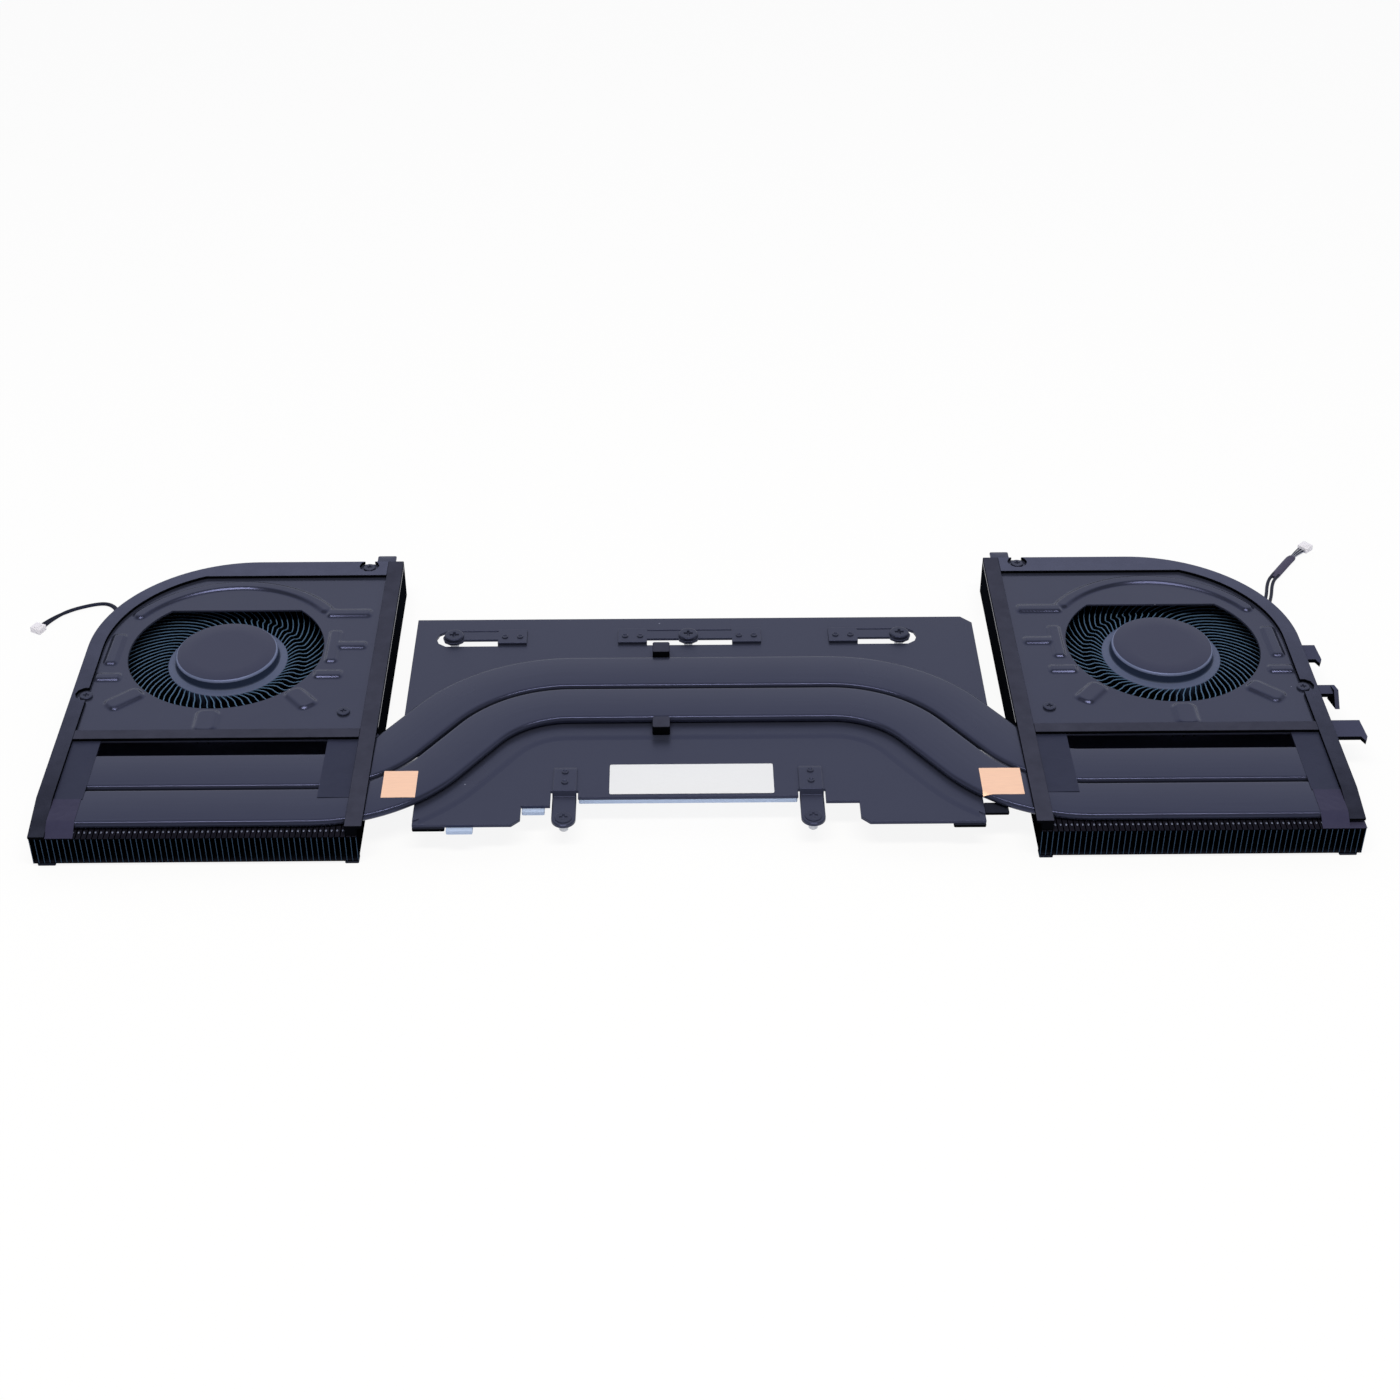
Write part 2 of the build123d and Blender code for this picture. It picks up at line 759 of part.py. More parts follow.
def rear_spring(screw_x, pads):
    """Leaf spring riveted to the plate, with an eye for its captive screw."""
    far = [x + math.copysign(spring_pad / 2, x - screw_x) for x in pads]
    x0, x1 = min(far + [screw_x]), max(far + [screw_x])
    plan = Pos((x0 + x1) / 2, spring_y + leaf_shift) * Rectangle(x1 - x0, leaf_width)
    plan += [Pos(x, spring_y + slot_shift) * Rectangle(spring_pad, pad_width) for x in pads]
    plan += Pos(screw_x, spring_y) * small_disc(eye_radius, head_sides)
    plan -= Pos(screw_x, spring_y) * small_disc(captive_neck + screw_play, hole_sides)
    return raise_face(plan, plate_top, spring_top)


def front_arm(x):
    """Arm bent down at the front edge of the plate, with a round end for its captive screw."""
    low = spring_top - arm_drop
    points = [
        (arm_rear, plate_top), (arm_rear, spring_top), (arm_bend, spring_top), (arm_bend, low),
        (arm_screw_y, low), (arm_screw_y, low - spring_thickness),
        (arm_bend + spring_thickness, low - spring_thickness), (arm_bend + spring_thickness, plate_top),
    ]
    arm = side_profile(points, x - arm_width / 2, x + arm_width / 2)
    tip = small_disc(arm_width / 2, head_sides)
    arm += raise_face(Pos(x, arm_screw_y) * tip, low - spring_thickness, low)
    hole = small_disc(captive_neck + screw_play, hole_sides)
    return arm - raise_face(Pos(x, arm_screw_y) * hole, low - spring_thickness, low)


def captive_screw_set():
    """Screws that stay in the eyes of the springs and arms."""
    shoulder = -spring_thickness - captive_neck_gap
    screw = raise_face(small_disc(captive_head, head_sides), 0, captive_head_height)
    screw += raise_face(small_disc(captive_neck, hole_sides), shoulder, 0)
    screw += raise_face(Circle(captive_shank), -captive_length, shoulder)
    places = [(screw_x, spring_y, spring_top) for screw_x, _ in rear_springs.values()]
    places += [(x, arm_screw_y, spring_top - arm_drop) for x in front_arms.values()]
    return Part() + [Pos(*place) * screw for place in places]


def rivet_set():
    """Rivet heads, a pair on each spring pad and on each arm."""
    half = rivet_pitch / 2
    arm_y = (arm_rear + arm_bend) / 2 + spring_thickness
    pad_places = [x for _, pads in rear_springs.values() for x in pads]
    places = [(x + step, spring_y) for x in pad_places for step in (-half, half)]
    places += [(x, arm_y + step) for x in front_arms.values() for step in (-half, half)]
    rivet = raise_face(RegularPolygon(rivet_radius, rivet_sides), spring_top, spring_top + rivet_height)
    return Part() + [Pos(x, y, 0) * rivet for x, y in places]


def contact_block(centre, width):
    """Copper block that presses on a chip under the plate."""
    half = width / 2
    return block(centre - half, centre + half, block_y - block_depth / 2, block_y + block_depth / 2,
                 plate_bottom - block_thickness, plate_bottom)


def thermal_pads():
    """Soft blue pads under the plate's front edge: on the tab, on the step, and a strip between the arms."""
    z0, z1 = plate_bottom - pad_thickness, plate_bottom
    tab_y, step_y = tab_front - pad_overhang, left_step_y - pad_overhang
    tab_x = edge_pad_width + pad_spacing - tab_half_width
    step_half = step_pad_width / 2
    strip_0, strip_1 = arm_notch(left_arm_x)[1] + pad_side_gap, arm_notch(right_arm_x)[0] - pad_side_gap
    return Part() + [
        block(tab_x, tab_x + tab_pad_width, tab_y, tab_y + pad_depth, z0, z1),
        block(step_pad_x - step_half, step_pad_x + step_half, step_y, step_y + pad_depth, z0, z1),
        block(strip_0, strip_1, middle_front, middle_front + pad_depth, z0, z1),
    ]


def edge_pads():
    """Black foam pads under the plate's front corners, and a flap beside the right one."""
    front, edge = tab_front - edge_pad_overhang, tab_half_width
    z0 = plate_bottom - edge_pad_thickness
    return Part() + [
        block(-edge, edge_pad_width - edge, front, front + pad_depth, z0, plate_bottom),
        block(edge - edge_pad_width, edge, front, front + pad_depth, z0, plate_bottom),
        block(edge, edge + flap_width, flap_front, flap_front + flap_depth, plate_bottom, plate_top),
    ]


def foam_block(rear, bottom, height):
    half = foam_width / 2
    return block(foam_x - half, foam_x + half, rear - foam_depth, rear, bottom, bottom + height)


def copper_foil(x, y, width):
    half, deep = width / 2, foil_depth / 2
    return block(x - half, x + half, y - deep, y + deep, pipe_top, pipe_top + foil_thickness)


def lead_route(side):
    """Points of a lead: straight out of its gland, then as it was laid by hand, to its plug."""
    gx, gy = gland_start()
    heading = math.radians(gland_heading)
    first_x = gx + lead_first_run * math.cos(heading)
    first_y = gy + lead_first_run * math.sin(heading)
    out = [(side * gx, gy), (side * first_x, first_y)]
    left = [(-170.6, 116.4), (-178.3, 115.9), (-184.4, 111.6), (-188.4, 105.4)]
    right = [(169.6, 119.6), (176.4, 131.0), (184.4, 142.0)]
    return [Vector(x, y, lead_radii[side]) for x, y in out + (left if side < 0 else right)]


def fan_lead(side):
    """Sleeved lead on the table: straight runs joined by the largest arcs that they leave room for."""
    points = lead_route(side)
    runs = [b - a for a, b in zip(points, points[1:])]
    radii = []
    for before, after in zip(runs, runs[1:]):
        turn = math.radians(before.get_angle(after))
        radii.append(0.45 * min(before.length, after.length) / math.tan(turn / 2))
    path = FilletPolyline(*points, radius=radii)
    section = Plane(origin=points[0], z_dir=runs[0]) * RegularPolygon(lead_radii[side], lead_sides)
    tube = sweep(section, path)
    expected = section.area * path.length
    print("lead", side, "length", round(path.length, 2), "radii", [round(r, 1) for r in radii],
          "volume ratio", round(tube.volume / expected, 4))
    return tube


def lead_plug(side):
    """White plug on the lead's end, in line with its last run."""
    points = lead_route(side)
    last = points[-1] - points[-2]
    heading = math.degrees(math.atan2(last.Y, last.X))
    body = Box(plug_length, plug_width, plug_height, align=(Align.MIN, Align.CENTER, Align.MIN))
    return Pos(points[-1].X, points[-1].Y, 0) * Rot(0, 0, heading) * body


pieces = {}
for name, side in (("left", -1), ("right", 1)):
    pieces[name + "_fan_housing"] = on_side(fan_housing(side), side)
    pieces[name + "_fan_cover"] = on_side(fan_cover(), side)
    pieces[name + "_impeller"] = on_side(impeller(), side)
    pieces[name + "_magnet_ring"] = on_side(magnet_ring(), side)
    pieces[name + "_motor_shaft"] = on_side(motor_shaft(), side)
    pieces[name + "_bearing_tube"] = on_side(bearing_tube(), side)
    pieces[name + "_stator"] = on_side(stator(), side)
    pieces[name + "_fin_stack"] = on_side(fin_stack(), side)
    pieces[name + "_outer_gasket"] = on_side(outer_gasket(), side)
    pieces[name + "_inner_gasket"] = on_side(inner_gasket(), side)
    pieces[name + "_cross_gasket"] = on_side(cross_gasket(), side)
    pieces[name + "_inner_film"] = on_side(inner_film(), side)
    pieces[name + "_outer_film"] = on_side(outer_film(), side)
    pieces[name + "_end_tape"] = on_side(end_tape(), side)
    pieces[name + "_cover_screws"] = on_side(cover_screw_set(), side)
    pieces[name + "_fan_lead"] = fan_lead(side)
    pieces[name + "_lead_plug"] = lead_plug(side)

pieces["left_copper_foil"] = copper_foil(left_foil_x, left_foil_y, left_foil_width)
pieces["right_copper_foil"] = copper_foil(right_foil_x, right_foil_y, right_foil_width)
pieces["rear_heat_pipe"] = heat_pipe(0)
pieces["front_heat_pipe"] = heat_pipe(pipe_pitch)
pieces["base_plate"] = base_plate()
for name, (screw_x, pads) in rear_springs.items():
    pieces[name] = rear_spring(screw_x, pads)
for name, x in front_arms.items():
    pieces[name] = front_arm(x)
pieces["captive_screws"] = captive_screw_set()
pieces["spring_rivets"] = rivet_set()
pieces["left_contact_block"] = contact_block((left_screw_x + centre_screw_x) / 2, left_block)
pieces["right_contact_block"] = contact_block((right_screw_x + centre_screw_x) / 2, right_block)
pieces["thermal_pads"] = thermal_pads()
pieces["edge_pads"] = edge_pads()
label_rear = label_front + label_depth
pieces["blank_label"] = block(label_x - label_width / 2, label_x + label_width / 2, label_front, label_rear,
                              plate_top, plate_top + label_thickness)
rear_foam_front = pipe_mid_y + pipe_width / 2 + foam_gap
pieces["rear_foam_block"] = foam_block(rear_foam_front + foam_depth, plate_top, rear_foam_height)
front_foam_rear = pipe_mid_y - pipe_pitch - pipe_width / 2 - foam_gap
pieces["front_foam_block"] = foam_block(front_foam_rear, fin_top, front_foam_height)

# The origin is under the middle of the object's box: hooks at the right, tabs at the rear, fins in front
middle_x = long_hook_reach / 2
middle_y = (fin_front + rear_edge + tab_length) / 2
os.makedirs("parts", exist_ok=True)
for name, shape in pieces.items():
    export_step(Pos(-middle_x, -middle_y, 0) * shape, "parts/" + name + ".step")
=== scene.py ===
import json
import math

import bmesh
import bpy
import numpy as np
from mathutils import Matrix, Vector

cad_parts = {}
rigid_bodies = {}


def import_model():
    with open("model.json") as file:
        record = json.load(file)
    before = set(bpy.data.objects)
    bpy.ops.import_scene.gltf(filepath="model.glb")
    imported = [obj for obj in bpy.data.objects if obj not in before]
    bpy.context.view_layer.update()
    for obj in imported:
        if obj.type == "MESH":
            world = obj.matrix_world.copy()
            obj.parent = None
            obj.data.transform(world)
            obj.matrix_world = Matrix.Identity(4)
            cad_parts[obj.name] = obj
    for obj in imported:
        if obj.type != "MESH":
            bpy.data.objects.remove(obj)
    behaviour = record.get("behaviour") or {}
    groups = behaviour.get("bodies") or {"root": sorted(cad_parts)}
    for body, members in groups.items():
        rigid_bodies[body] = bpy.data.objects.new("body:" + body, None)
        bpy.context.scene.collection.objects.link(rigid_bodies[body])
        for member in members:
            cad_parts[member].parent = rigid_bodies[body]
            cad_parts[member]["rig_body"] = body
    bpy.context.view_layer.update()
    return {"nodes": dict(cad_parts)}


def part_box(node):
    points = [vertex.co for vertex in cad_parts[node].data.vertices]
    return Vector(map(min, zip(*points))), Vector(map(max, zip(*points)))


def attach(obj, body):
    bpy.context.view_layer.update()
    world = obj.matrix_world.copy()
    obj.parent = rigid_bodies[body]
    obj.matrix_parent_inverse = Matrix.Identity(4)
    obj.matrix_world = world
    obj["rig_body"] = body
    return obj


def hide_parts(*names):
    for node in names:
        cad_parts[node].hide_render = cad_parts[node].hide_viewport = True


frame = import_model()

bl_info = {
    "name": "Laptop cooling fan heatsink",
    "version": (1, 0, 0),
    "blender": (4, 5, 0),
    "location": "3D View > Sidebar > Heatsink",
    "description": "Visible pieces and finishes of a twin-blower cooling module, "
                   "round its packed CAD frame",
    "category": "Object",
}

MM = 0.001
MERGE = 1e-6                     # corners nearer than this are one corner
SHARP = math.radians(35.0)       # edges that turn by more than this stay sharp
FLAT = math.radians(0.5)         # faces that turn by less than this are joined
BEVEL_FROM = math.radians(30.0)  # edges that turn by more than this are rounded
SIDES = (("left", -1), ("right", 1))


def middle_of(node):
    """Middle of a CAD node's box."""
    low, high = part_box(node)
    return (low + high) / 2


# Places that the frame gives: the fans' axes, the mid-plane between them,
# and the front line before the fins
LEFT_AXIS = middle_of("left_motor_shaft")
RIGHT_AXIS = middle_of("right_motor_shaft")
FIN_FRONT = 0.5 * MM
DRAWING_ORIGIN = np.array([
    (LEFT_AXIS.x + RIGHT_AXIS.x) / 2,
    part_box("left_fin_stack")[0].y - FIN_FRONT,
    0.0,
])
FAN_X = RIGHT_AXIS.x - float(DRAWING_ORIGIN[0])
FAN_Y = RIGHT_AXIS.y - float(DRAWING_ORIGIN[1])
FIN_LOW = 0.8 * MM
FIN_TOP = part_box("left_fin_stack")[1].z
COVER_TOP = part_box("left_cross_gasket")[0].z
COVER_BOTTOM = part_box("left_fan_cover")[0].z
SPRING_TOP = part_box("left_rear_spring")[1].z


def linear(hex_colour):
    """An sRGB hex colour as the linear values that shaders take."""
    share = np.array([int(hex_colour[place:place + 2], 16) for place in (1, 3, 5)]) / 255.0
    curve = np.where(share <= 0.04045, share / 12.92, ((share + 0.055) / 1.055) ** 2.4)
    return tuple(float(value) for value in curve)


def length_prop(name, description, value):
    """A length in metres."""
    return bpy.props.FloatProperty(
        name=name, description=description, default=value, min=0.0, unit="LENGTH", precision=5)


def colour_prop(name, description, hex_colour):
    """A colour that is written as sRGB hex and kept linear."""
    return bpy.props.FloatVectorProperty(
        name=name, description=description, default=linear(hex_colour), size=3, min=0.0, max=1.0,
        subtype="COLOR")


class ModuleSizes(bpy.types.PropertyGroup):
    """Sizes of a fan module, from the mid-plane out and from the front line back."""
    inner_edge: length_prop("Inner side", "Mid-plane to the inner side of a module", 84.5 * MM)
    outer_edge: length_prop("Outer side", "Mid-plane to the outer side of a module", 168.0 * MM)
    rear_edge: length_prop("Rear side", "Front line to the rear side of a module", 121.7 * MM)
    corner_radius: length_prop("Round corner", "Radius of the outer rear corner", 42.0 * MM)
    inlet_radius: length_prop("Inlet", "Radius of the round inlet", 26.7 * MM)
    inlet_chord: length_prop(
        "Inlet flat", "Fan axis to the straight rear side of the inlet", 19.6 * MM)
    bead_height: length_prop("Bead height", "Rise of the pressed beads", 0.7 * MM)
    bead_slope: length_prop("Bead slope", "Width of a bead's sloping sides", 1.35 * MM)
    blade_count: bpy.props.IntProperty(
        name="Blades", description="Blades of one impeller", default=67, min=3)
    fin_count: bpy.props.IntProperty(
        name="Fins", description="Fins of one stack", default=59, min=2)


class PipeSizes(bpy.types.PropertyGroup):
    """Sizes of the two flattened heat pipes."""
    width: length_prop("Width", "Width of a pipe", 13.7 * MM)
    thickness: length_prop("Thickness", "Height of a pipe pressed flat", 2.2 * MM)
    pitch: length_prop("Pitch", "Rear pipe's line to the front pipe's line", 14.5 * MM)
    middle_y: length_prop(
        "Middle line", "Front line to the rear pipe between the modules", 67.7 * MM)
    fin_y: length_prop("Line on the fins", "Front line to the rear pipe on the fins", 25.3 * MM)
    upper_radius: length_prop("Upper bend", "Radius of the bend next to the middle", 43.2 * MM)
    lower_radius: length_prop("Lower bend", "Radius of the bend next to the fins", 23.5 * MM)
    left_start: length_prop("Left bend", "Mid-plane to the left upper bend", 34.0 * MM)
    right_start: length_prop("Right bend", "Mid-plane to the right upper bend", 35.7 * MM)
    tip: length_prop("Tip", "Mid-plane to the closed ends", 163.0 * MM)
    pinch: length_prop("Pinch", "Length over which an end narrows", 4.0 * MM)
    bend: bpy.props.FloatProperty(
        name="Bend", description="Angle of each bend", default=math.radians(55.0), subtype="ANGLE")


class FinishColours(bpy.types.PropertyGroup):
    """Colours of the finishes."""
    paint: colour_prop("Satin paint", "Painted steel of covers, plate and springs", "#292c3a")
    pipe: colour_prop("Pipe paint", "Paint on the heat pipes", "#282b39")
    hub: colour_prop("Hub paint", "Paint on the hubs' caps", "#292b3b")
    # The rim's pale colour is a painted highlight on the bevel round the cap.
    rim: colour_prop("Hub rim", "Burnished bevel round the hubs' caps", "#66708f")
    wall: colour_prop("Hub wall", "Moulded wall below the bevel", "#28334b")
    flange: colour_prop("Flange plastic", "Moulded flange under the hub", "#4c5674")
    # The blades' pale blue-grey upper edges are a painted highlight.
    blade: colour_prop("Blade edge", "Upper edges of the moulded blades", "#4f6b8a")
    housing: colour_prop("Housing plastic", "Moulded trays", "#41445a")
    fin: colour_prop("Fin coat", "Folded tops of the fins", "#1a1a23")
    fin_edge: colour_prop("Fin edge", "Cut front edges of the fins", "#35485f")
    # The catches' pale colour is a painted glint of light.
    catch: colour_prop("Fin catch", "Rubbed catches on the fins", "#737a92")
    foam: colour_prop("Foam", "Gaskets round the covers", "#3b3e4f")
    skin: colour_prop("Foam skin", "Strips with a pressed skin", "#3a3c4b")
    film: colour_prop("Film", "Plastic film over the pipes' ends", "#252838")
    tape: colour_prop("Tape", "Cloth tape on the pipes' ends", "#36354a")
    screw: colour_prop("Screw steel", "Blacked screws and rivets", "#242733")
    copper: colour_prop("Copper", "Foil squares and contact blocks", "#fdcdb1")
    pad: colour_prop("Thermal pad", "Soft silicone pads", "#b3c6e8")
    label: colour_prop("Label", "Blank paper label", "#dfe2e8")
    sleeve: colour_prop("Sleeve", "Sleeve of the right lead", "#433f52")
    wire: colour_prop("Wire", "Bare strands of the leads", "#171922")
    plug: colour_prop("Plug", "Nylon plugs", "#e6e5ef")


class StageSettings(bpy.types.PropertyGroup):
    """Camera, light and floor."""
    lens: bpy.props.FloatProperty(
        name="Lens", description="Focal length on a 36 mm sensor", default=59.474, unit="CAMERA")
    place: bpy.props.FloatVectorProperty(
        name="Camera place", description="Camera position in the frame", size=3,
        default=(-0.011516, -0.508494, 0.380820), subtype="TRANSLATION", unit="LENGTH")
    pitch: bpy.props.FloatProperty(
        name="Pitch", description="Camera's tilt down", default=math.radians(36.535),
        subtype="ANGLE")
    yaw: bpy.props.FloatProperty(
        name="Yaw", description="Camera's turn to the right", default=math.radians(0.911),
        subtype="ANGLE")
    roll: bpy.props.FloatProperty(
        name="Roll", description="Camera's roll", default=math.radians(0.122), subtype="ANGLE")
    softbox_power: bpy.props.FloatProperty(
        name="Softbox", description="Power of the softbox in front of and above the object",
        default=8.0, min=0.0, unit="POWER")
    floor: colour_prop("Floor", "Pale floor", "#f4f5f7")


def settings():
    """The scene's own settings of this add-on: module sizes, pipe sizes, colours, stage."""
    scene = bpy.context.scene
    return scene.heatsink_module, scene.heatsink_pipe, scene.heatsink_colour, scene.heatsink_stage


# Materials

WHITE = (1.0, 1.0, 1.0, 1.0)
LACQUER_TINT = (0.46, 0.51, 1.0, 1.0)    # thin lacquer mirrors the pale wall a little blue
FILM_TINT = (0.34, 0.4, 1.0, 1.0)        # polyester mirrors it bluer still
CLOUD, PIPE_CLOUD = 22 * MM, 26 * MM     # width of the paint's cloudy patches
DUST_PITCH = 9 * MM                      # specks of dust to the next ones
DUST = "#9aa0b4"
FOAM_TONE = 5 * MM                       # width of a foam strip's uneven patches
FIN_COAT = 2.5 * MM                      # width of the fin coat's uneven patches


def rgba(colour, times=1.0):
    """A linear colour, times a number and at most white, as the four values that sockets take."""
    return (*[min(value * times, 1.0) for value in colour], 1.0)


def feed(tree, node, inputs):
    """Sets or links inputs of a node, each by its name or number."""
    for socket, value in inputs.items():
        if isinstance(value, bpy.types.NodeSocket):
            tree.links.new(value, node.inputs[socket])
        else:
            node.inputs[socket].default_value = value


def add_node(tree, kind, inputs=None, **values):
    """Adds a node, sets its values, and sets or links its inputs."""
    node = tree.nodes.new(kind)
    for name, value in values.items():
        setattr(node, name, value)
    feed(tree, node, inputs or {})
    return node


def start_finish(name, colour, roughness, metallic=0.0):
    """A material with one Principled surface; gives back what its pattern is built on."""
    finish = bpy.data.materials.new(name)
    finish.use_nodes = True
    tree = finish.node_tree
    surface = tree.nodes["Principled BSDF"]
    feed(tree, surface, {
        "Base Color": rgba(colour), "Roughness": roughness, "Metallic": metallic})
    place = add_node(tree, "ShaderNodeTexCoord").outputs["Object"]
    return finish, tree, surface, place


def close_finish(tree, surface, base, height, depth, uneven=None, gloss=0.5, tint=WHITE):
    """Last step of a finish: its colour, a bump of a depth in metres, and its gloss.

    Uneven is a factor and the roughness at its low and high values, where that changes."""
    bump = add_node(tree, "ShaderNodeBump", {
        "Height": height, "Distance": depth, "Strength": 1.0}).outputs["Normal"]
    feed(tree, surface, {
        "Base Color": base, "Normal": bump, "Specular IOR Level": gloss, "Specular Tint": tint})
    if uneven is not None:
        factor, low, high = uneven
        feed(tree, surface, {"Roughness": add_node(tree, "ShaderNodeMapRange", {
            "Value": factor, "From Min": 0.3, "From Max": 0.7,
            "To Min": low, "To Max": high}).outputs["Result"]})


def painted_shade_on_sides(tree, skin, side, low, high):
    """The skin's colour on faces that look up, and a dark one on upright faces, as painted shade.

    The soft change runs while the upward part of the surface's normal goes from low to high."""
    normal = add_node(tree, "ShaderNodeNewGeometry").outputs["Normal"]
    upward = add_node(tree, "ShaderNodeSeparateXYZ", {"Vector": normal}).outputs["Z"]
    facing = add_node(tree, "ShaderNodeMapRange", {
        "Value": upward, "From Min": low, "From Max": high},
        interpolation_type="SMOOTHSTEP").outputs["Result"]
    return add_node(tree, "ShaderNodeMix", {
        0: facing, 6: rgba(linear(side)), 7: skin}, data_type="RGBA").outputs[2]


def satin_paint(name, colour, roughness, peel=1.6 * MM, dust=True):
    """Satin black stoving paint on pressed steel.

    The eye sees a soft, slightly cloudy sheen with fine orange peel and a few specks of dust."""
    finish, tree, surface, place = start_finish(name, colour, roughness)
    clouds = add_node(tree, "ShaderNodeTexNoise", {
        "Vector": place, "Scale": 1 / CLOUD, "Detail": 3.0, "Roughness": 0.55}).outputs["Fac"]
    base = add_node(tree, "ShaderNodeMix", {
        0: clouds, 6: rgba(colour, 0.86), 7: rgba(colour, 1.14)}, data_type="RGBA").outputs[2]
    if dust:
        specks = add_node(tree, "ShaderNodeTexVoronoi", {
            "Vector": place, "Scale": 1 / DUST_PITCH, "Randomness": 1.0}).outputs["Distance"]
        spot = add_node(tree, "ShaderNodeMapRange", {
            "Value": specks, "From Min": 0.018, "From Max": 0.03,
            "To Min": 0.5, "To Max": 0.0}).outputs["Result"]
        base = add_node(tree, "ShaderNodeMix", {
            0: spot, 6: base, 7: rgba(linear(DUST))}, data_type="RGBA").outputs[2]
    skin = add_node(tree, "ShaderNodeTexNoise", {
        "Vector": place, "Scale": 1 / peel, "Detail": 2.0, "Roughness": 0.5}).outputs["Fac"]
    close_finish(tree, surface, base, skin, 0.005 * MM,
                 (clouds, roughness - 0.05, roughness + 0.06), tint=LACQUER_TINT)
    return finish


def drawn_paint(name, colour, roughness):
    """Thin black paint on a drawn and flattened copper tube.

    The eye sees a cloudy sheen and fine draw lines, which run along the pipe's UV."""
    finish, tree, surface, place = start_finish(name, colour, roughness)
    along = add_node(tree, "ShaderNodeUVMap", uv_map="along").outputs["UV"]
    stretched = add_node(tree, "ShaderNodeMapping", {
        "Vector": along, "Scale": (25.0, 1400.0, 1.0)}).outputs["Vector"]
    lines = add_node(tree, "ShaderNodeTexNoise", {
        "Vector": stretched, "Scale": 1.0, "Detail": 3.0}).outputs["Fac"]
    clouds = add_node(tree, "ShaderNodeTexNoise", {
        "Vector": place, "Scale": 1 / PIPE_CLOUD, "Detail": 3.0}).outputs["Fac"]
    mixed = add_node(tree, "ShaderNodeMath", {
        0: lines, 1: clouds, 2: 0.25}, operation="MULTIPLY_ADD").outputs[0]
    base = add_node(tree, "ShaderNodeMix", {
        0: mixed, 6: rgba(colour, 0.78), 7: rgba(colour, 1.22)}, data_type="RGBA").outputs[2]
    close_finish(tree, surface, base, lines, 0.005 * MM,
                 (clouds, roughness - 0.06, roughness + 0.06), tint=LACQUER_TINT)
    return finish


def foam_finish(name, colour, cell, depth, painted_rear_sheen=False):
    """Open-cell urethane foam strip: matte, with small pits, uneven tone and upright cut sides
    painted dark as painted shade.

    Its pits are drawn at their real size. With the painted rear sheen, a strip is dark at the front
    and paler towards the rear: a painted reflection in place of the gloss it shows at the rear."""
    finish, tree, surface, place = start_finish(name, colour, 0.85)
    pits = add_node(tree, "ShaderNodeTexVoronoi", {
        "Vector": place, "Scale": 1 / cell}).outputs["Distance"]
    tone = add_node(tree, "ShaderNodeTexNoise", {
        "Vector": place, "Scale": 1 / FOAM_TONE, "Detail": 5.0, "Roughness": 0.65}).outputs["Fac"]
    low, high = 0.7, 1.3
    # Painted reflection: the strip's tone grows paler towards the rear.
    if painted_rear_sheen:
        low, high = 0.3, 2.0
        along = add_node(tree, "ShaderNodeSeparateXYZ", {"Vector": place}).outputs["Y"]
        rear = add_node(tree, "ShaderNodeMapRange", {
            "Value": along, "From Min": -58 * MM, "From Max": 50 * MM,
            "To Max": 0.7}).outputs["Result"]
        tone = add_node(tree, "ShaderNodeMath", {
            0: tone, 1: 0.3, 2: rear}, operation="MULTIPLY_ADD").outputs[0]
    skin = add_node(tree, "ShaderNodeMix", {
        0: tone, 6: rgba(colour, low), 7: rgba(colour, high)}, data_type="RGBA").outputs[2]
    # Painted shade: upright faces of the foam go near black.
    base = painted_shade_on_sides(tree, skin, "#07080c", 0.35, 0.85)
    close_finish(tree, surface, base, pits, depth, gloss=0.0)
    return finish


def film_finish(name, colour, roughness, wrinkle, depth, gloss=0.24):
    """Thin black polyester film or tape: a smooth sheen broken by slack waves and fine creases."""
    finish, tree, surface, place = start_finish(name, colour, roughness)
    waves = add_node(tree, "ShaderNodeTexNoise", {
        "Vector": place, "Scale": 1 / wrinkle, "Detail": 4.0, "Roughness": 0.6,
        "Distortion": 0.6}).outputs["Fac"]
    base = add_node(tree, "ShaderNodeMix", {
        0: waves, 6: rgba(colour, 0.85), 7: rgba(colour, 1.15)}, data_type="RGBA").outputs[2]
    close_finish(tree, surface, base, waves, depth, gloss=gloss, tint=FILM_TINT)
    return finish


def moulded_finish(name, colour, roughness, grain=0.5 * MM, gloss=0.5, side=None):
    """Injection-moulded plastic with fine spark-eroded grain, which gives a dull, even sheen.

    The grain is drawn coarser than it is, so that it shows. Where a side colour is given, level
    tops keep the lighter colour and upright faces take the dark one, as painted light and shade."""
    finish, tree, surface, place = start_finish(name, colour, roughness)
    texture = add_node(tree, "ShaderNodeTexNoise", {
        "Vector": place, "Scale": 1 / grain, "Detail": 3.0}).outputs["Fac"]
    base = add_node(tree, "ShaderNodeMix", {
        0: texture, 6: rgba(colour, 0.9), 7: rgba(colour, 1.1)}, data_type="RGBA").outputs[2]
    if side is not None:
        base = painted_shade_on_sides(tree, base, side, 0.3, 0.8)
    close_finish(tree, surface, base, texture, 0.01 * MM, gloss=gloss)
    return finish


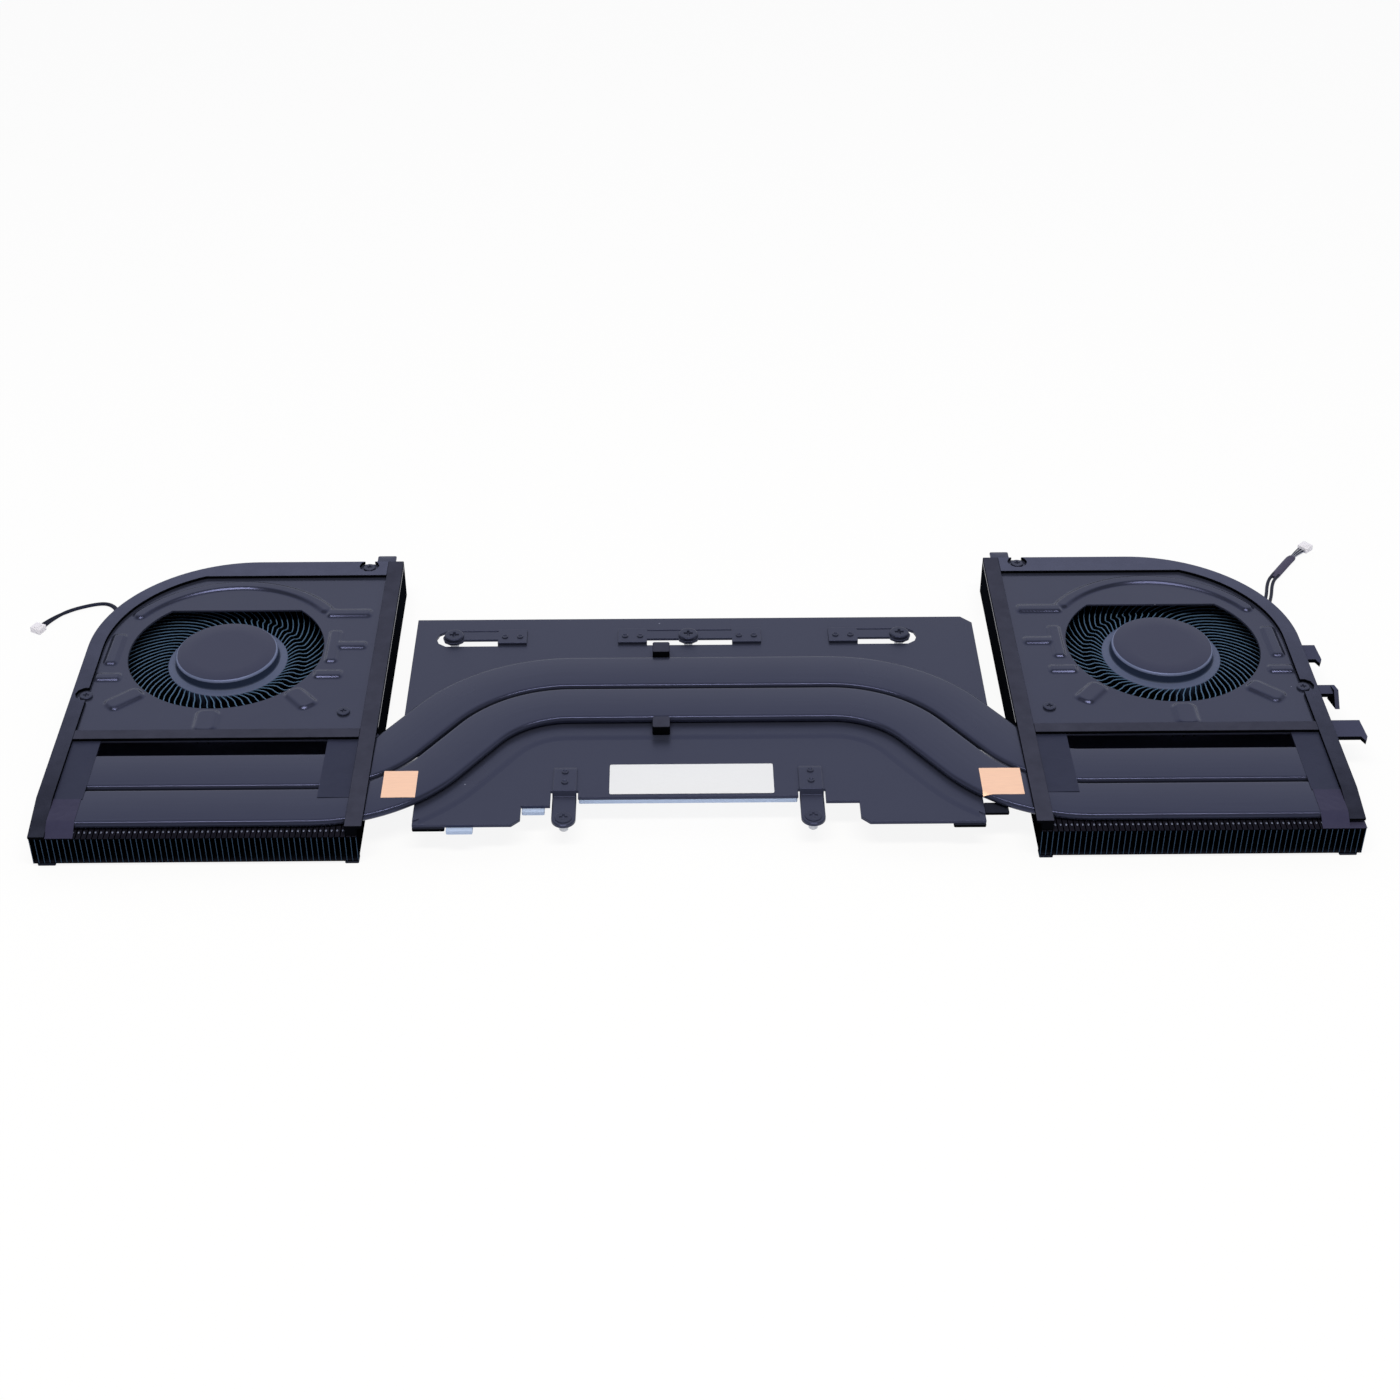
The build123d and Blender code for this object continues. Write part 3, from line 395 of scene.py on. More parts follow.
def coated_fin_finish(name, colour):
    """Black-coated aluminium fin stock: greyer, uneven folded tops, and dull upright sheets painted
    near black as painted shade.
    """
    finish, tree, surface, place = start_finish(name, colour, 0.6)
    coat = add_node(tree, "ShaderNodeTexNoise", {
        "Vector": place, "Scale": 1 / FIN_COAT, "Detail": 4.0}).outputs["Fac"]
    tops = add_node(tree, "ShaderNodeMix", {
        0: coat, 6: rgba(colour, 0.45), 7: rgba(colour, 1.3)}, data_type="RGBA").outputs[2]
    # Painted shade: the upright fin sheets go near black.
    base = painted_shade_on_sides(tree, tops, "#020203", 0.5, 0.9)
    close_finish(tree, surface, base, coat, 0.01 * MM, gloss=0.0)
    return finish


def metal_finish(name, colour, roughness, metallic, scratch):
    """Bare or plated metal: a sheen broken by short brushed scratches along X.

    The scratches are drawn coarser than they are, so that they show."""
    finish, tree, surface, place = start_finish(name, colour, roughness, metallic)
    stretched = add_node(tree, "ShaderNodeMapping", {
        "Vector": place, "Scale": (0.12 / scratch, 1 / scratch, 1 / scratch)}).outputs["Vector"]
    lines = add_node(tree, "ShaderNodeTexNoise", {
        "Vector": stretched, "Scale": 1.0, "Detail": 4.0}).outputs["Fac"]
    base = add_node(tree, "ShaderNodeMix", {
        0: lines, 6: rgba(colour, 0.88), 7: rgba(colour, 1.1)}, data_type="RGBA").outputs[2]
    close_finish(tree, surface, base, lines, 0.008 * MM,
                 (lines, roughness - 0.08, roughness + 0.08))
    return finish


def soft_finish(name, colour, roughness, grain, depth, low=0.93, high=1.05):
    """Even pale surface, such as silicone, paper or nylon, with a faint grain of its own.

    The grain is drawn coarser than it is, so that it shows."""
    finish, tree, surface, place = start_finish(name, colour, roughness)
    fibres = add_node(tree, "ShaderNodeTexNoise", {
        "Vector": place, "Scale": 1 / grain, "Detail": 5.0, "Roughness": 0.6}).outputs["Fac"]
    base = add_node(tree, "ShaderNodeMix", {
        0: fibres, 6: rgba(colour, low), 7: rgba(colour, high)}, data_type="RGBA").outputs[2]
    close_finish(tree, surface, base, fibres, depth)
    return finish


# Shapes worked out with arrays, in metres from the mid-plane and the front line.
# Modules are drawn on the right. A shell is an array of points and a list of arrays of faces.


def to_frame(points, side=1):
    """Drawing places as places of the frame; the left side is the mirror image."""
    return points * np.array([side, 1.0, 1.0]) + DRAWING_ORIGIN


def drawing_box(node):
    """Lowest and highest corner of a CAD node, as drawing places."""
    return [np.array(corner) - DRAWING_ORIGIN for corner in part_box(node)]


def smooth(share):
    """Soft step from 0 to 1, level at both ends."""
    share = np.clip(share, 0.0, 1.0)
    return share * share * (3.0 - 2.0 * share)


def travel_along(line):
    """Length of a line up to each of its points."""
    steps = np.linalg.norm(np.diff(line, axis=0), axis=1)
    return np.concatenate([[0.0], np.cumsum(steps)])


def carried(line, offset):
    """Places square to a plan line: for each of its points, the given offsets to its left."""
    heading = np.gradient(line, axis=0)
    across = np.stack([-heading[:, 1], heading[:, 0]], axis=-1)
    across /= np.linalg.norm(across, axis=1, keepdims=True)
    return line[:, :1] + across[:, :1] * offset, line[:, 1:] + across[:, 1:] * offset


def grid_quads(rows, columns, close_rows=False, close_columns=False):
    """Corner numbers of a grid's quads; a closed direction joins its last line to its first."""
    row = np.arange(rows if close_rows else rows - 1)[:, None]
    column = np.arange(columns if close_columns else columns - 1)[None, :]
    next_row, next_column = (row + 1) % rows, (column + 1) % columns
    corners = [row * columns + column, next_row * columns + column,
               next_row * columns + next_column, row * columns + next_column]
    return np.stack(np.broadcast_arrays(*corners), axis=-1).reshape(-1, 4)


def closed_rings(rings, ends, turned=False):
    """Shell of rings, each joined to the next, with a fan of triangles to a point at each end."""
    rows, columns = rings.shape[:2]
    first, last = np.arange(columns), (rows - 1) * columns + np.arange(columns)
    near = np.stack([np.roll(first, -1), first, np.full(columns, rows * columns)], axis=-1)
    far = np.stack([last, np.roll(last, -1), np.full(columns, rows * columns + 1)], axis=-1)
    faces = [grid_quads(rows, columns, close_columns=True)[:, ::-1], near, far]
    if turned:
        faces = [face[:, ::-1] for face in faces]
    return np.concatenate([rings.reshape(-1, 3), ends]), faces


def joined(shells):
    """Several shells as one."""
    points, faces, start = [], [], 0
    for shell_points, shell_faces in shells:
        flat = np.asarray(shell_points, float).reshape(-1, 3)
        points.append(flat)
        faces += [face + start for face in shell_faces]
        start += len(flat)
    return np.concatenate(points), faces


def numbered_on(faces, count, size):
    """Faces of a shape with a given number of points, for each of several copies in turn."""
    step = (np.arange(count) * size)[:, None, None]
    return [(face[None] + step).reshape(-1, face.shape[1]) for face in faces]


def copies(points, faces, places):
    """One shell repeated at several places: its points are shifted by each place in turn."""
    shifted = points[None] + np.asarray(places, float)[:, None]
    return shifted.reshape(-1, 3), numbered_on(faces, len(places), len(points))


def shell_bands(shells, bands):
    """Finish number of each face, where each shell has one finish."""
    return np.concatenate([np.full(len(face), band)
                           for shell, band in zip(shells, bands) for face in shell[1]])


def sheet_grid(x0, x1, y0, y1, across, along):
    """Even grid over a rectangle in plan."""
    return np.meshgrid(np.linspace(x0, x1, across), np.linspace(y0, y1, along), indexing="ij")


def thin_sheet(x, y, z, thickness):
    """Closed sheet over a grid: its top, the same points lowered, and a strip round the edge."""
    rows, columns = x.shape
    top = np.stack([x, y, z], axis=-1).reshape(-1, 3)
    low = top - np.array([0.0, 0.0, thickness])
    upper = grid_quads(rows, columns)
    count = rows * columns
    number = np.arange(count).reshape(rows, columns)
    border = np.concatenate([number[:-1, 0], number[-1, :-1],
                             number[:0:-1, -1], number[0, :0:-1]])
    after = np.roll(border, -1)
    strip = np.stack([border + count, after + count, after, border], axis=-1)
    return np.concatenate([top, low]), [upper, upper[:, ::-1] + count, strip]


def revolved(profile, steps, lift=None):
    """Surface of revolution: each profile point (radius, height) is carried round the axis.

    Both ends lie on the axis. A lift, a function of x, y and z, is added to the heights."""
    radius, height = np.asarray(profile, float).T
    turn = np.linspace(0.0, 2 * np.pi, steps, endpoint=False)
    x = np.outer(radius[1:-1], np.cos(turn))
    y = np.outer(radius[1:-1], np.sin(turn))
    z = np.repeat(height[1:-1, None], steps, axis=1)
    top = height[0]
    if lift is not None:
        z = z + lift(x, y, z)
        top = top + float(lift(np.zeros(1), np.zeros(1), np.array([top]))[0])
    ends = [[0.0, 0.0, top], [0.0, 0.0, height[-1]]]
    return closed_rings(np.stack([x, y, z], axis=-1), ends, turned=True)


CORNER_STEPS, RIM_STEPS = 6, 4   # points of a slab's round corner, and rings of its round rim


def rounded_slab(low, high, corner, edge):
    """Slab with round corners in plan and round rims.

    Rounded rectangles are drawn in along a quarter circle towards the top and the foot."""
    low, high = np.asarray(low, float), np.asarray(high, float)
    middle, half = (low + high) / 2, (high - low) / 2
    turn = np.linspace(0.0, np.pi / 2, CORNER_STEPS)
    quarter = np.concatenate([turn + place * np.pi / 2 for place in range(4)])
    sign_x = np.repeat([1.0, -1.0, -1.0, 1.0], CORNER_STEPS)
    sign_y = np.repeat([1.0, 1.0, -1.0, -1.0], CORNER_STEPS)
    rim = np.linspace(0.0, np.pi / 2, RIM_STEPS)
    drawn_in, fall = edge * (1 - np.cos(rim)), edge * (1 - np.sin(rim))
    inset = np.concatenate([drawn_in[::-1], drawn_in])[:, None]
    height = np.concatenate([low[2] + fall[::-1], high[2] - fall])[:, None]
    round_now = np.maximum(corner - inset, 0.0)
    x = middle[0] + sign_x * (half[0] - inset - round_now) + round_now * np.cos(quarter)
    y = middle[1] + sign_y * (half[1] - inset - round_now) + round_now * np.sin(quarter)
    rings = np.stack([x, y, np.broadcast_to(height, x.shape)], axis=-1)
    ends = [[middle[0], middle[1], low[2]], [middle[0], middle[1], high[2]]]
    return closed_rings(rings, ends)


def make_mesh(name, points, faces, side=1, bands=None, uv=None):
    """A smooth mesh of a shell, mirrored for the left side, with sharp edges kept."""
    places = to_frame(np.asarray(points, float).reshape(-1, 3), side)
    faces = [face[:, ::-1] if side < 0 else face for face in faces]
    corners = np.concatenate([face.ravel() for face in faces]).astype(np.int32)
    sizes = np.concatenate([np.full(len(face), face.shape[1]) for face in faces])
    mesh = bpy.data.meshes.new(name)
    mesh.vertices.add(len(places))
    mesh.vertices.foreach_set("co", places.ravel().astype(np.float32))
    mesh.loops.add(len(corners))
    mesh.loops.foreach_set("vertex_index", corners)
    mesh.polygons.add(len(sizes))
    mesh.polygons.foreach_set("loop_start", (np.cumsum(sizes) - sizes).astype(np.int32))
    mesh.polygons.foreach_set("use_smooth", np.ones(len(sizes), bool))
    if bands is not None:
        mesh.polygons.foreach_set("material_index", np.asarray(bands, np.int32))
    if uv is not None:
        layer = mesh.uv_layers.new(name="along")
        layer.data.foreach_set("uv", np.asarray(uv, np.float32)[corners].ravel())
    mesh.update(calc_edges=True)
    if mesh.validate():
        raise RuntimeError(name + " has faces that aren't sound")
    mesh.set_sharp_from_angle(angle=SHARP)
    return mesh


def add_piece(name, mesh, body, finishes, nodes=()):
    """Puts a mesh into the scene as a piece that rides on a body and stands for CAD nodes."""
    piece = bpy.data.objects.new(name, mesh)
    bpy.context.scene.collection.objects.link(piece)
    for finish in finishes:
        mesh.materials.append(finish)
    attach(piece, body)
    if nodes:
        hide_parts(*nodes)
    return piece


def add_shell(name, shell, slot, finishes, nodes=(), body="module", **looks):
    """Makes a mesh of a shell and adds it as a piece."""
    return add_piece(name, make_mesh(name, *shell, **looks), body, finishes, nodes)


def softened_copy(node, finish, width, segments=2):
    """A copy of a CAD node whose sharp edges a Bevel modifier rounds.

    Its corners are merged and its flat faces joined first."""
    shape = bmesh.new()
    shape.from_mesh(frame["nodes"][node].data)
    bmesh.ops.remove_doubles(shape, verts=shape.verts, dist=MERGE)
    bmesh.ops.dissolve_limit(shape, angle_limit=FLAT, verts=shape.verts, edges=shape.edges)
    mesh = bpy.data.meshes.new(node + "_softened")
    shape.to_mesh(mesh)
    shape.free()
    mesh.materials.clear()
    if "custom_normal" in mesh.attributes:
        mesh.attributes.remove(mesh.attributes["custom_normal"])
    mesh.polygons.foreach_set("use_smooth", np.ones(len(mesh.polygons), bool))
    mesh.polygons.foreach_set("material_index", np.zeros(len(mesh.polygons), np.int32))
    body = frame["nodes"][node]["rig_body"]
    piece = add_piece(node + "_softened", mesh, body, [finish], [node])
    bevel = piece.modifiers.new("Rounded edges", "BEVEL")
    bevel.width = width
    bevel.segments = segments
    bevel.limit_method = "ANGLE"
    bevel.angle_limit = BEVEL_FROM
    bevel.harden_normals = True
    return piece


# Heat pipes

ARC_STEPS = 28                   # points of each bend
TIP_STEPS = 9                    # points along each closed end
SHOULDER_STEPS = 11              # points of each half-round side
TIP_WIDTH, TIP_HEIGHT = 0.42, 0.5    # shares of the width and the height that are left at a tip


def bend_places(pipe, side):
    """Where one side's bends lie, out from the mid-plane: start of the upper, centre of the lower.

    Both bends and the slant between them take up the fall from the middle line to the fins."""
    start = pipe.left_start if side < 0 else pipe.right_start
    radii = pipe.upper_radius + pipe.lower_radius
    fall = pipe.middle_y - pipe.fin_y - radii * (1 - math.cos(pipe.bend))
    run = radii * math.sin(pipe.bend) + fall / math.tan(pipe.bend)
    return start, start + run, pipe.fin_y + pipe.lower_radius


def pipe_half(pipe, shift, side):
    """Half of a pipe's line, out from the mid-plane: run, arc, slant, arc, run.

    The shift moves it to the front; both arcs keep their centres, so the pipes stay parallel."""
    start, centre_x, centre_y = bend_places(pipe, side)
    turn = np.linspace(0.0, pipe.bend, ARC_STEPS)
    upper, lower = pipe.upper_radius - shift, pipe.lower_radius + shift
    upper_y = pipe.middle_y - pipe.upper_radius + upper * np.cos(turn)
    upper_arc = np.stack([start + upper * np.sin(turn), upper_y], axis=-1)
    back = turn[::-1]
    lower_arc = np.stack(
        [centre_x - lower * np.sin(back), centre_y - lower * np.cos(back)], axis=-1)
    tip_x = pipe.tip - pipe.pinch * np.cos(np.linspace(0.0, np.pi / 2, TIP_STEPS))
    tip = np.stack([tip_x, np.full(TIP_STEPS, pipe.fin_y - shift)], axis=-1)
    half = np.concatenate([[[0.0, pipe.middle_y - shift]], upper_arc, lower_arc, tip])
    return half * np.array([side, 1.0])


def both_halves(half, pipe, shift):
    """Line from left to right: the left half turned round, and the right half after it."""
    return np.concatenate([half(pipe, shift, -1)[::-1], half(pipe, shift, 1)[1:]])


def pipe_surface(pipe, shift):
    """Flattened tube: a flat profile with half-round sides, carried square to the pipe's line.

    Towards both ends the profile draws in along a quarter ellipse, and a fan closes it.
    The UV is the length along the pipe and the length round its profile."""
    line = both_halves(pipe_half, pipe, shift)
    travel = travel_along(line)
    to_end = np.clip(np.minimum(travel, travel[-1] - travel) / pipe.pinch, 0.0, 1.0)
    draw = np.sqrt(np.clip(1 - (1 - to_end) ** 2, 0.0, 1.0))[:, None]
    side_turn = np.linspace(-np.pi / 2, np.pi / 2, SHOULDER_STEPS)
    turn = np.concatenate([side_turn, side_turn + np.pi])
    half_height = pipe.thickness / 2
    shoulder = np.repeat([1.0, -1.0], SHOULDER_STEPS) * (pipe.width / 2 - half_height)
    reach, rise = shoulder + half_height * np.cos(turn), half_height * np.sin(turn)
    x, y = carried(line, (TIP_WIDTH + (1 - TIP_WIDTH) * draw) * reach)
    z = FIN_TOP + (TIP_HEIGHT + (1 - TIP_HEIGHT) * draw) * (half_height + rise)
    rings = np.stack([x, y, z], axis=-1)
    around = travel_along(np.stack([reach, rise], axis=-1))
    uv = np.stack(np.meshgrid(travel, around, indexing="ij"), axis=-1).reshape(-1, 2)
    uv = np.concatenate([uv, [[travel[0], 0.0], [travel[-1], 0.0]]])
    return closed_rings(rings, rings[[0, -1]].mean(axis=1)), uv


class HEATSINK_OT_heat_pipes(bpy.types.Operator):
    """Two flattened heat pipes, swept along their bent lines"""
    bl_idname = "heatsink.heat_pipes"
    bl_label = "Heat pipes"

    def execute(self, context):
        _, pipe, colour, _ = settings()
        paint = drawn_paint("black_paint_on_drawn_copper", colour.pipe, 0.22)
        for name, shift in (("rear_heat_pipe", 0.0), ("front_heat_pipe", pipe.pitch)):
            shell, uv = pipe_surface(pipe, shift)
            add_shell(name + "_tube", shell, "black_pipe", [paint], [name], uv=uv)
        return {"FINISHED"}


# Fan covers

COVER_BEADS = np.array([         # start, end and width of each pressed bead, from the fan's axis
    (31.0, -7.0, 30.6, 8.3, 4.6),
    (26.4, -12.4, 34.5, -12.4, 4.4),
    (19.8, -18.8, 28.4, -26.4, 6.2),
    (0.6, -37.9, 0.6, -27.4, 7.2),
    (-19.8, -18.7, -26.6, -26.9, 6.4),
    (-33.6, -11.7, -24.9, -11.7, 4.4),
    (-29.3, -6.6, -29.3, 9.4, 4.4),
    (-38.9, 1.9, -29.6, 1.9, 4.2),
]) * MM
BEAD_CORNER = 0.36               # radius of a bead's corners, as a share of its width
BEAD_BLEND, RIB_BLEND = 0.8 * MM, 1.2 * MM   # length over which two beads run into each other
RIB_RADIUS, RIB_WIDTH = 32.0 * MM, 4.6 * MM
RIB_START, RIB_END = math.radians(33.0), math.radians(142.0)
RIB_SPLIT = -10 * MM             # in front of this, a place is nearest to one of the rib's ends
RIB_TAIL = np.array([-25.2, 17.6, -38.8, 17.6]) * MM
SLOT_START, SLOT_END = 97.1 * MM, 156.5 * MM     # opening between the pipes and the cover
BAR_FRONT = 37.6 * MM            # front edge of the cover
WALL_END = 43.3 * MM             # where the cover's inner side starts to slant to the opening
HOUSING_FRONT = 32.5 * MM
COVER_EDGE = 0.16 * MM           # radius of the sheet's edges
COVER_TURNS, COVER_RINGS = 580, 148
COVER_ARM = (0.1 * MM, 0.05 * MM)    # corner and edge radius of the arm beside the opening
TAB_START, TAB_WIDTH, TAB_DEPTH = 2.5 * MM, 5.4 * MM, 4.3 * MM
TAB_ROUND = (0.5 * MM, 0.12 * MM)    # corner and edge radius of the rear tab


def bar_gap(x, y, x0, y0, x1, y1, width):
    """Distance outside a bar with round corners between two points; it is negative inside."""
    length = math.hypot(x1 - x0, y1 - y0)
    cosine, sine = (x1 - x0) / length, (y1 - y0) / length
    along = (x - (x0 + x1) / 2) * cosine + (y - (y0 + y1) / 2) * sine
    aside = (y - (y0 + y1) / 2) * cosine - (x - (x0 + x1) / 2) * sine
    corner = BEAD_CORNER * width
    over_x = np.abs(along) - (length / 2 - corner)
    over_y = np.abs(aside) - (width / 2 - corner)
    outside = np.hypot(np.maximum(over_x, 0.0), np.maximum(over_y, 0.0))
    return outside + np.minimum(np.maximum(over_x, over_y), 0.0) - corner


def soft_least(one, other, blend):
    """The smaller of two distances, with the crease between them rounded off."""
    share = np.clip(0.5 + 0.5 * (other - one) / blend, 0.0, 1.0)
    return other + (one - other) * share - blend * share * (1.0 - share)


def rib_gap(x, y):
    """Distance outside the rib round the inlet's rear.

    The rib is an arc with round ends, and a straight tail."""
    turn = np.clip(np.mod(np.arctan2(y, x), 2 * np.pi), RIB_START, RIB_END)
    turn = np.where(y < RIB_SPLIT, np.where(x > 0, RIB_START, RIB_END), turn)
    middle_x, middle_y = RIB_RADIUS * np.cos(turn), RIB_RADIUS * np.sin(turn)
    arc = np.hypot(x - middle_x, y - middle_y) - RIB_WIDTH / 2
    return soft_least(arc, bar_gap(x, y, *RIB_TAIL, RIB_WIDTH), RIB_BLEND)


def cover_rise(module, x, y):
    """Height of the beads at places from the fan's axis: full inside, a soft slope at the edge."""
    gap = rib_gap(x, y)
    for spot in COVER_BEADS:
        gap = soft_least(gap, bar_gap(x, y, *spot), BEAD_BLEND)
    return module.bead_height * smooth(-gap / module.bead_slope)


def cover_sides(module):
    """Right, rear, left and front side of the cover, from the fan's axis."""
    return (module.outer_edge - FAN_X, module.rear_edge - FAN_Y,
            module.inner_edge - FAN_X, BAR_FRONT - FAN_Y)


def cover_reach(module, turn):
    """Distance from the fan's axis to the cover's edge: the nearest side, or the round corner."""
    cosine, sine = np.cos(turn), np.sin(turn)
    right, rear, left, front = cover_sides(module)
    cut_from = np.array([left, WALL_END - FAN_Y])
    cut_to = np.array([SLOT_START - FAN_X, front])
    normal = np.array([cut_to[1] - cut_from[1], cut_from[0] - cut_to[0]])
    sides = [(1.0, 0.0, right), (0.0, 1.0, rear), (-1.0, 0.0, -left), (0.0, -1.0, -front),
             (normal[0], normal[1], normal @ cut_from)]
    reach = np.full_like(turn, 1.0)
    for across, along, limit in sides:
        speed = across * cosine + along * sine
        nearer = np.minimum(reach, limit / np.maximum(speed, 1e-9))
        reach = np.where(speed > 1e-9, nearer, reach)
    corner_x, corner_y = right - module.corner_radius, rear - module.corner_radius
    towards = corner_x * cosine + corner_y * sine
    beside = corner_x ** 2 + corner_y ** 2 - module.corner_radius ** 2
    arc = towards + np.sqrt(np.maximum(towards ** 2 - beside, 0.0))
    in_corner = (reach * cosine > corner_x) & (reach * sine > corner_y)
    return np.where(in_corner, arc, reach)


def cover_surface(module):
    """Sheet cover as a closed polar grid about the fan's axis.

    Rings run from the inlet's edge over the beaded top to the outer edge, down, and back below.
    Each point lies a share of the way from the inlet to the outline in its direction."""
    chord = math.asin(module.inlet_chord / module.inlet_radius)
    right, rear, left, front = cover_sides(module)
    corners = [(left, rear), (left, WALL_END - FAN_Y), (SLOT_START - FAN_X, front), (right, front)]
    special = [math.atan2(y, x) % (2 * math.pi) for x, y in corners] + [chord, math.pi - chord]
    even = np.linspace(0.0, 2 * np.pi, COVER_TURNS, endpoint=False)
    turn = np.unique(np.concatenate([even, special]))
    inner = np.minimum(module.inlet_radius, module.inlet_chord / np.maximum(np.sin(turn), 1e-6))
    inner = np.where(np.sin(turn) > 0, inner, module.inlet_radius)
    outer = cover_reach(module, turn)
    rim = COVER_EDGE * np.array([0.0, 0.3, 1.0])
    fall = COVER_EDGE * np.array([1.0, 0.3, 0.0])
    body = np.linspace(0.0, 1.0, COVER_RINGS)[1:-1]
    level = np.zeros(len(body))
    share = np.concatenate([[0.0] * 3, body, [1.0] * 3, [1.0, 0.0]])
    offset = np.concatenate([rim, level, -rim[::-1], [0.0, 0.0]])
    drop = np.concatenate([fall, level, fall[::-1]])
    radius = inner[:, None] + share[None] * (outer - inner)[:, None] + offset[None]
    x, y = radius * np.cos(turn)[:, None], radius * np.sin(turn)[:, None]
    top = COVER_TOP - drop[None] + cover_rise(module, x[:, :-2], y[:, :-2])
    under = np.full((len(turn), 2), COVER_BOTTOM)
    z = np.concatenate([top, under], axis=1)
    points = np.stack([x + FAN_X, y + FAN_Y, z], axis=-1)
    return points, [grid_quads(*x.shape, close_rows=True, close_columns=True)[:, ::-1]]


class HEATSINK_OT_fan_covers(bpy.types.Operator):
    """Pressed sheet covers with their beads, round ribs and inlets"""
    bl_idname = "heatsink.fan_covers"
    bl_label = "Fan covers"

    def execute(self, context):
        module, _, colour, _ = settings()
        paint = satin_paint("satin_black_pressed_steel", colour.paint, 0.21)
        arm = rounded_slab((SLOT_END, HOUSING_FRONT, COVER_BOTTOM),
                           (module.outer_edge, BAR_FRONT, COVER_TOP), *COVER_ARM)
        tab_x, tab_y = module.inner_edge + TAB_START, module.rear_edge
        tab = rounded_slab((tab_x, tab_y, COVER_BOTTOM),
                           (tab_x + TAB_WIDTH, tab_y + TAB_DEPTH, COVER_TOP), *TAB_ROUND)
        shell = joined([cover_surface(module), arm, tab])
        for name, side in SIDES:
            add_shell(name + "_cover_sheet", shell, "black_sheet", [paint],
                      [name + "_fan_cover"], side=side)
        return {"FINISHED"}


# Impellers

BLADE_FOOT = 2.6 * MM
BLADE_LINE = np.array([          # radius, lean in degrees and top height along a blade
    (16.2, 0.0, 7.3),
    (17.4, 2.6, 7.6),
    (18.6, 5.2, 7.7),
    (19.6, 6.7, 7.6),
    (20.6, 7.2, 7.2),
    (21.6, 8.2, 6.9),
    (23.0, 11.6, 6.9),
    (25.0, 16.9, 6.9),
    (27.0, 22.3, 6.9),
    (29.2, 28.2, 6.9),
    (31.5, 34.4, 6.9),
])
BLADE_HALF = np.array([          # radius and half thickness of a blade
    (16.2, 0.17), (20.0, 0.2), (31.5, 0.15),
]) * MM
BLADE_SECTION = np.array([       # share of the half thickness, drop from the top, and 1 at the foot
    (-1.0, 0.14, 0.0), (-0.5, 0.02, 0.0), (0.5, 0.02, 0.0),
    (1.0, 0.14, 0.0), (1.0, 0.0, 1.0), (-1.0, 0.0, 1.0),
])
HUB_STEPS = 128
HUB_PROFILE = np.array([         # radius and height, from the cap's middle to the disc's underside
    (0.0, 10.6), (4.0, 10.6), (9.0, 10.6), (13.35, 10.6), (13.5, 10.56), (13.78, 10.38),
    (13.97, 10.1), (14.0, 9.9), (14.05, 8.15), (14.15, 7.9), (14.4, 7.76), (15.2, 7.6),
    (16.0, 7.42), (16.3, 7.3), (16.4, 7.1), (16.4, 2.6), (13.1, 2.6), (13.1, 9.8), (0.0, 9.8),
]) * MM
CAP, FLANGE, RIM, WALL, BLADE = range(5)     # order of an impeller's finishes
HUB_BANDS = [CAP] * 3 + [RIM] * 3 + [WALL] * 3 + [FLANGE] * 4 + [WALL] * 3


def blade_shells(module):
    """Blades: a flat section carried along a leaning line, and turned round the axis for each."""
    radius = BLADE_LINE[:, 0] * MM
    lean = -np.radians(BLADE_LINE[:, 1])
    line = np.stack([radius * np.cos(lean), radius * np.sin(lean)], axis=-1)
    thick = np.interp(radius, *BLADE_HALF.T)
    x, y = carried(line, thick[:, None] * BLADE_SECTION[:, 0])
    top = BLADE_LINE[:, 2:] * MM - BLADE_SECTION[:, 1] * MM
    z = np.where(BLADE_SECTION[:, 2] > 0, BLADE_FOOT, top)
    rows, columns = x.shape
    turn = np.arange(module.blade_count) * 2 * np.pi / module.blade_count
    cosine, sine = np.cos(turn)[:, None, None], np.sin(turn)[:, None, None]
    turned = [x * cosine - y * sine, x * sine + y * cosine, z]
    points = np.stack(np.broadcast_arrays(*turned), axis=-1).reshape(-1, 3)
    ring = np.arange(columns)[None]
    faces = [grid_quads(rows, columns, close_columns=True),
             ring, (rows - 1) * columns + ring[:, ::-1]]
    return points, numbered_on(faces, module.blade_count, rows * columns)


class HEATSINK_OT_impellers(bpy.types.Operator):
    """Impellers with a bevelled hub, a flange and leaning blades"""
    bl_idname = "heatsink.impellers"
    bl_label = "Impellers"

    def execute(self, context):
        module, _, colour, _ = settings()
        finishes = [
            satin_paint("satin_black_hub_cap", colour.hub, 0.38, peel=1.2 * MM),
            moulded_finish("moulded_grey_flange", colour.flange, 0.45, gloss=0.3),
            # Painted highlight: the bevel round each cap takes the pale rim colour.
            satin_paint("painted_highlight_hub_rim", colour.rim, 0.32, peel=0.8 * MM, dust=False),
            moulded_finish("moulded_black_hub_wall", colour.wall, 0.5, gloss=0.2),
            # Painted highlight and shade: blade tops take the pale edge colour, upright blade sides
            # near black.
            moulded_finish("moulded_black_blades", colour.blade, 0.4, gloss=0.1, side="#030406"),
        ]
        blades = blade_shells(module)
        points, faces = joined([revolved(HUB_PROFILE, HUB_STEPS), blades])
        shell = points + np.array([FAN_X, FAN_Y, 0.0]), faces
        hub_bands = np.repeat(HUB_BANDS + [CAP, WALL], HUB_STEPS)
        bands = np.concatenate([hub_bands, shell_bands([blades], [BLADE])])
        for name, side in SIDES:
            add_shell(name + "_impeller_blades", shell, "rotor", finishes,
                      [name + "_impeller"], name + "_rotor", side=side, bands=bands)
        return {"FINISHED"}


# Fin stacks

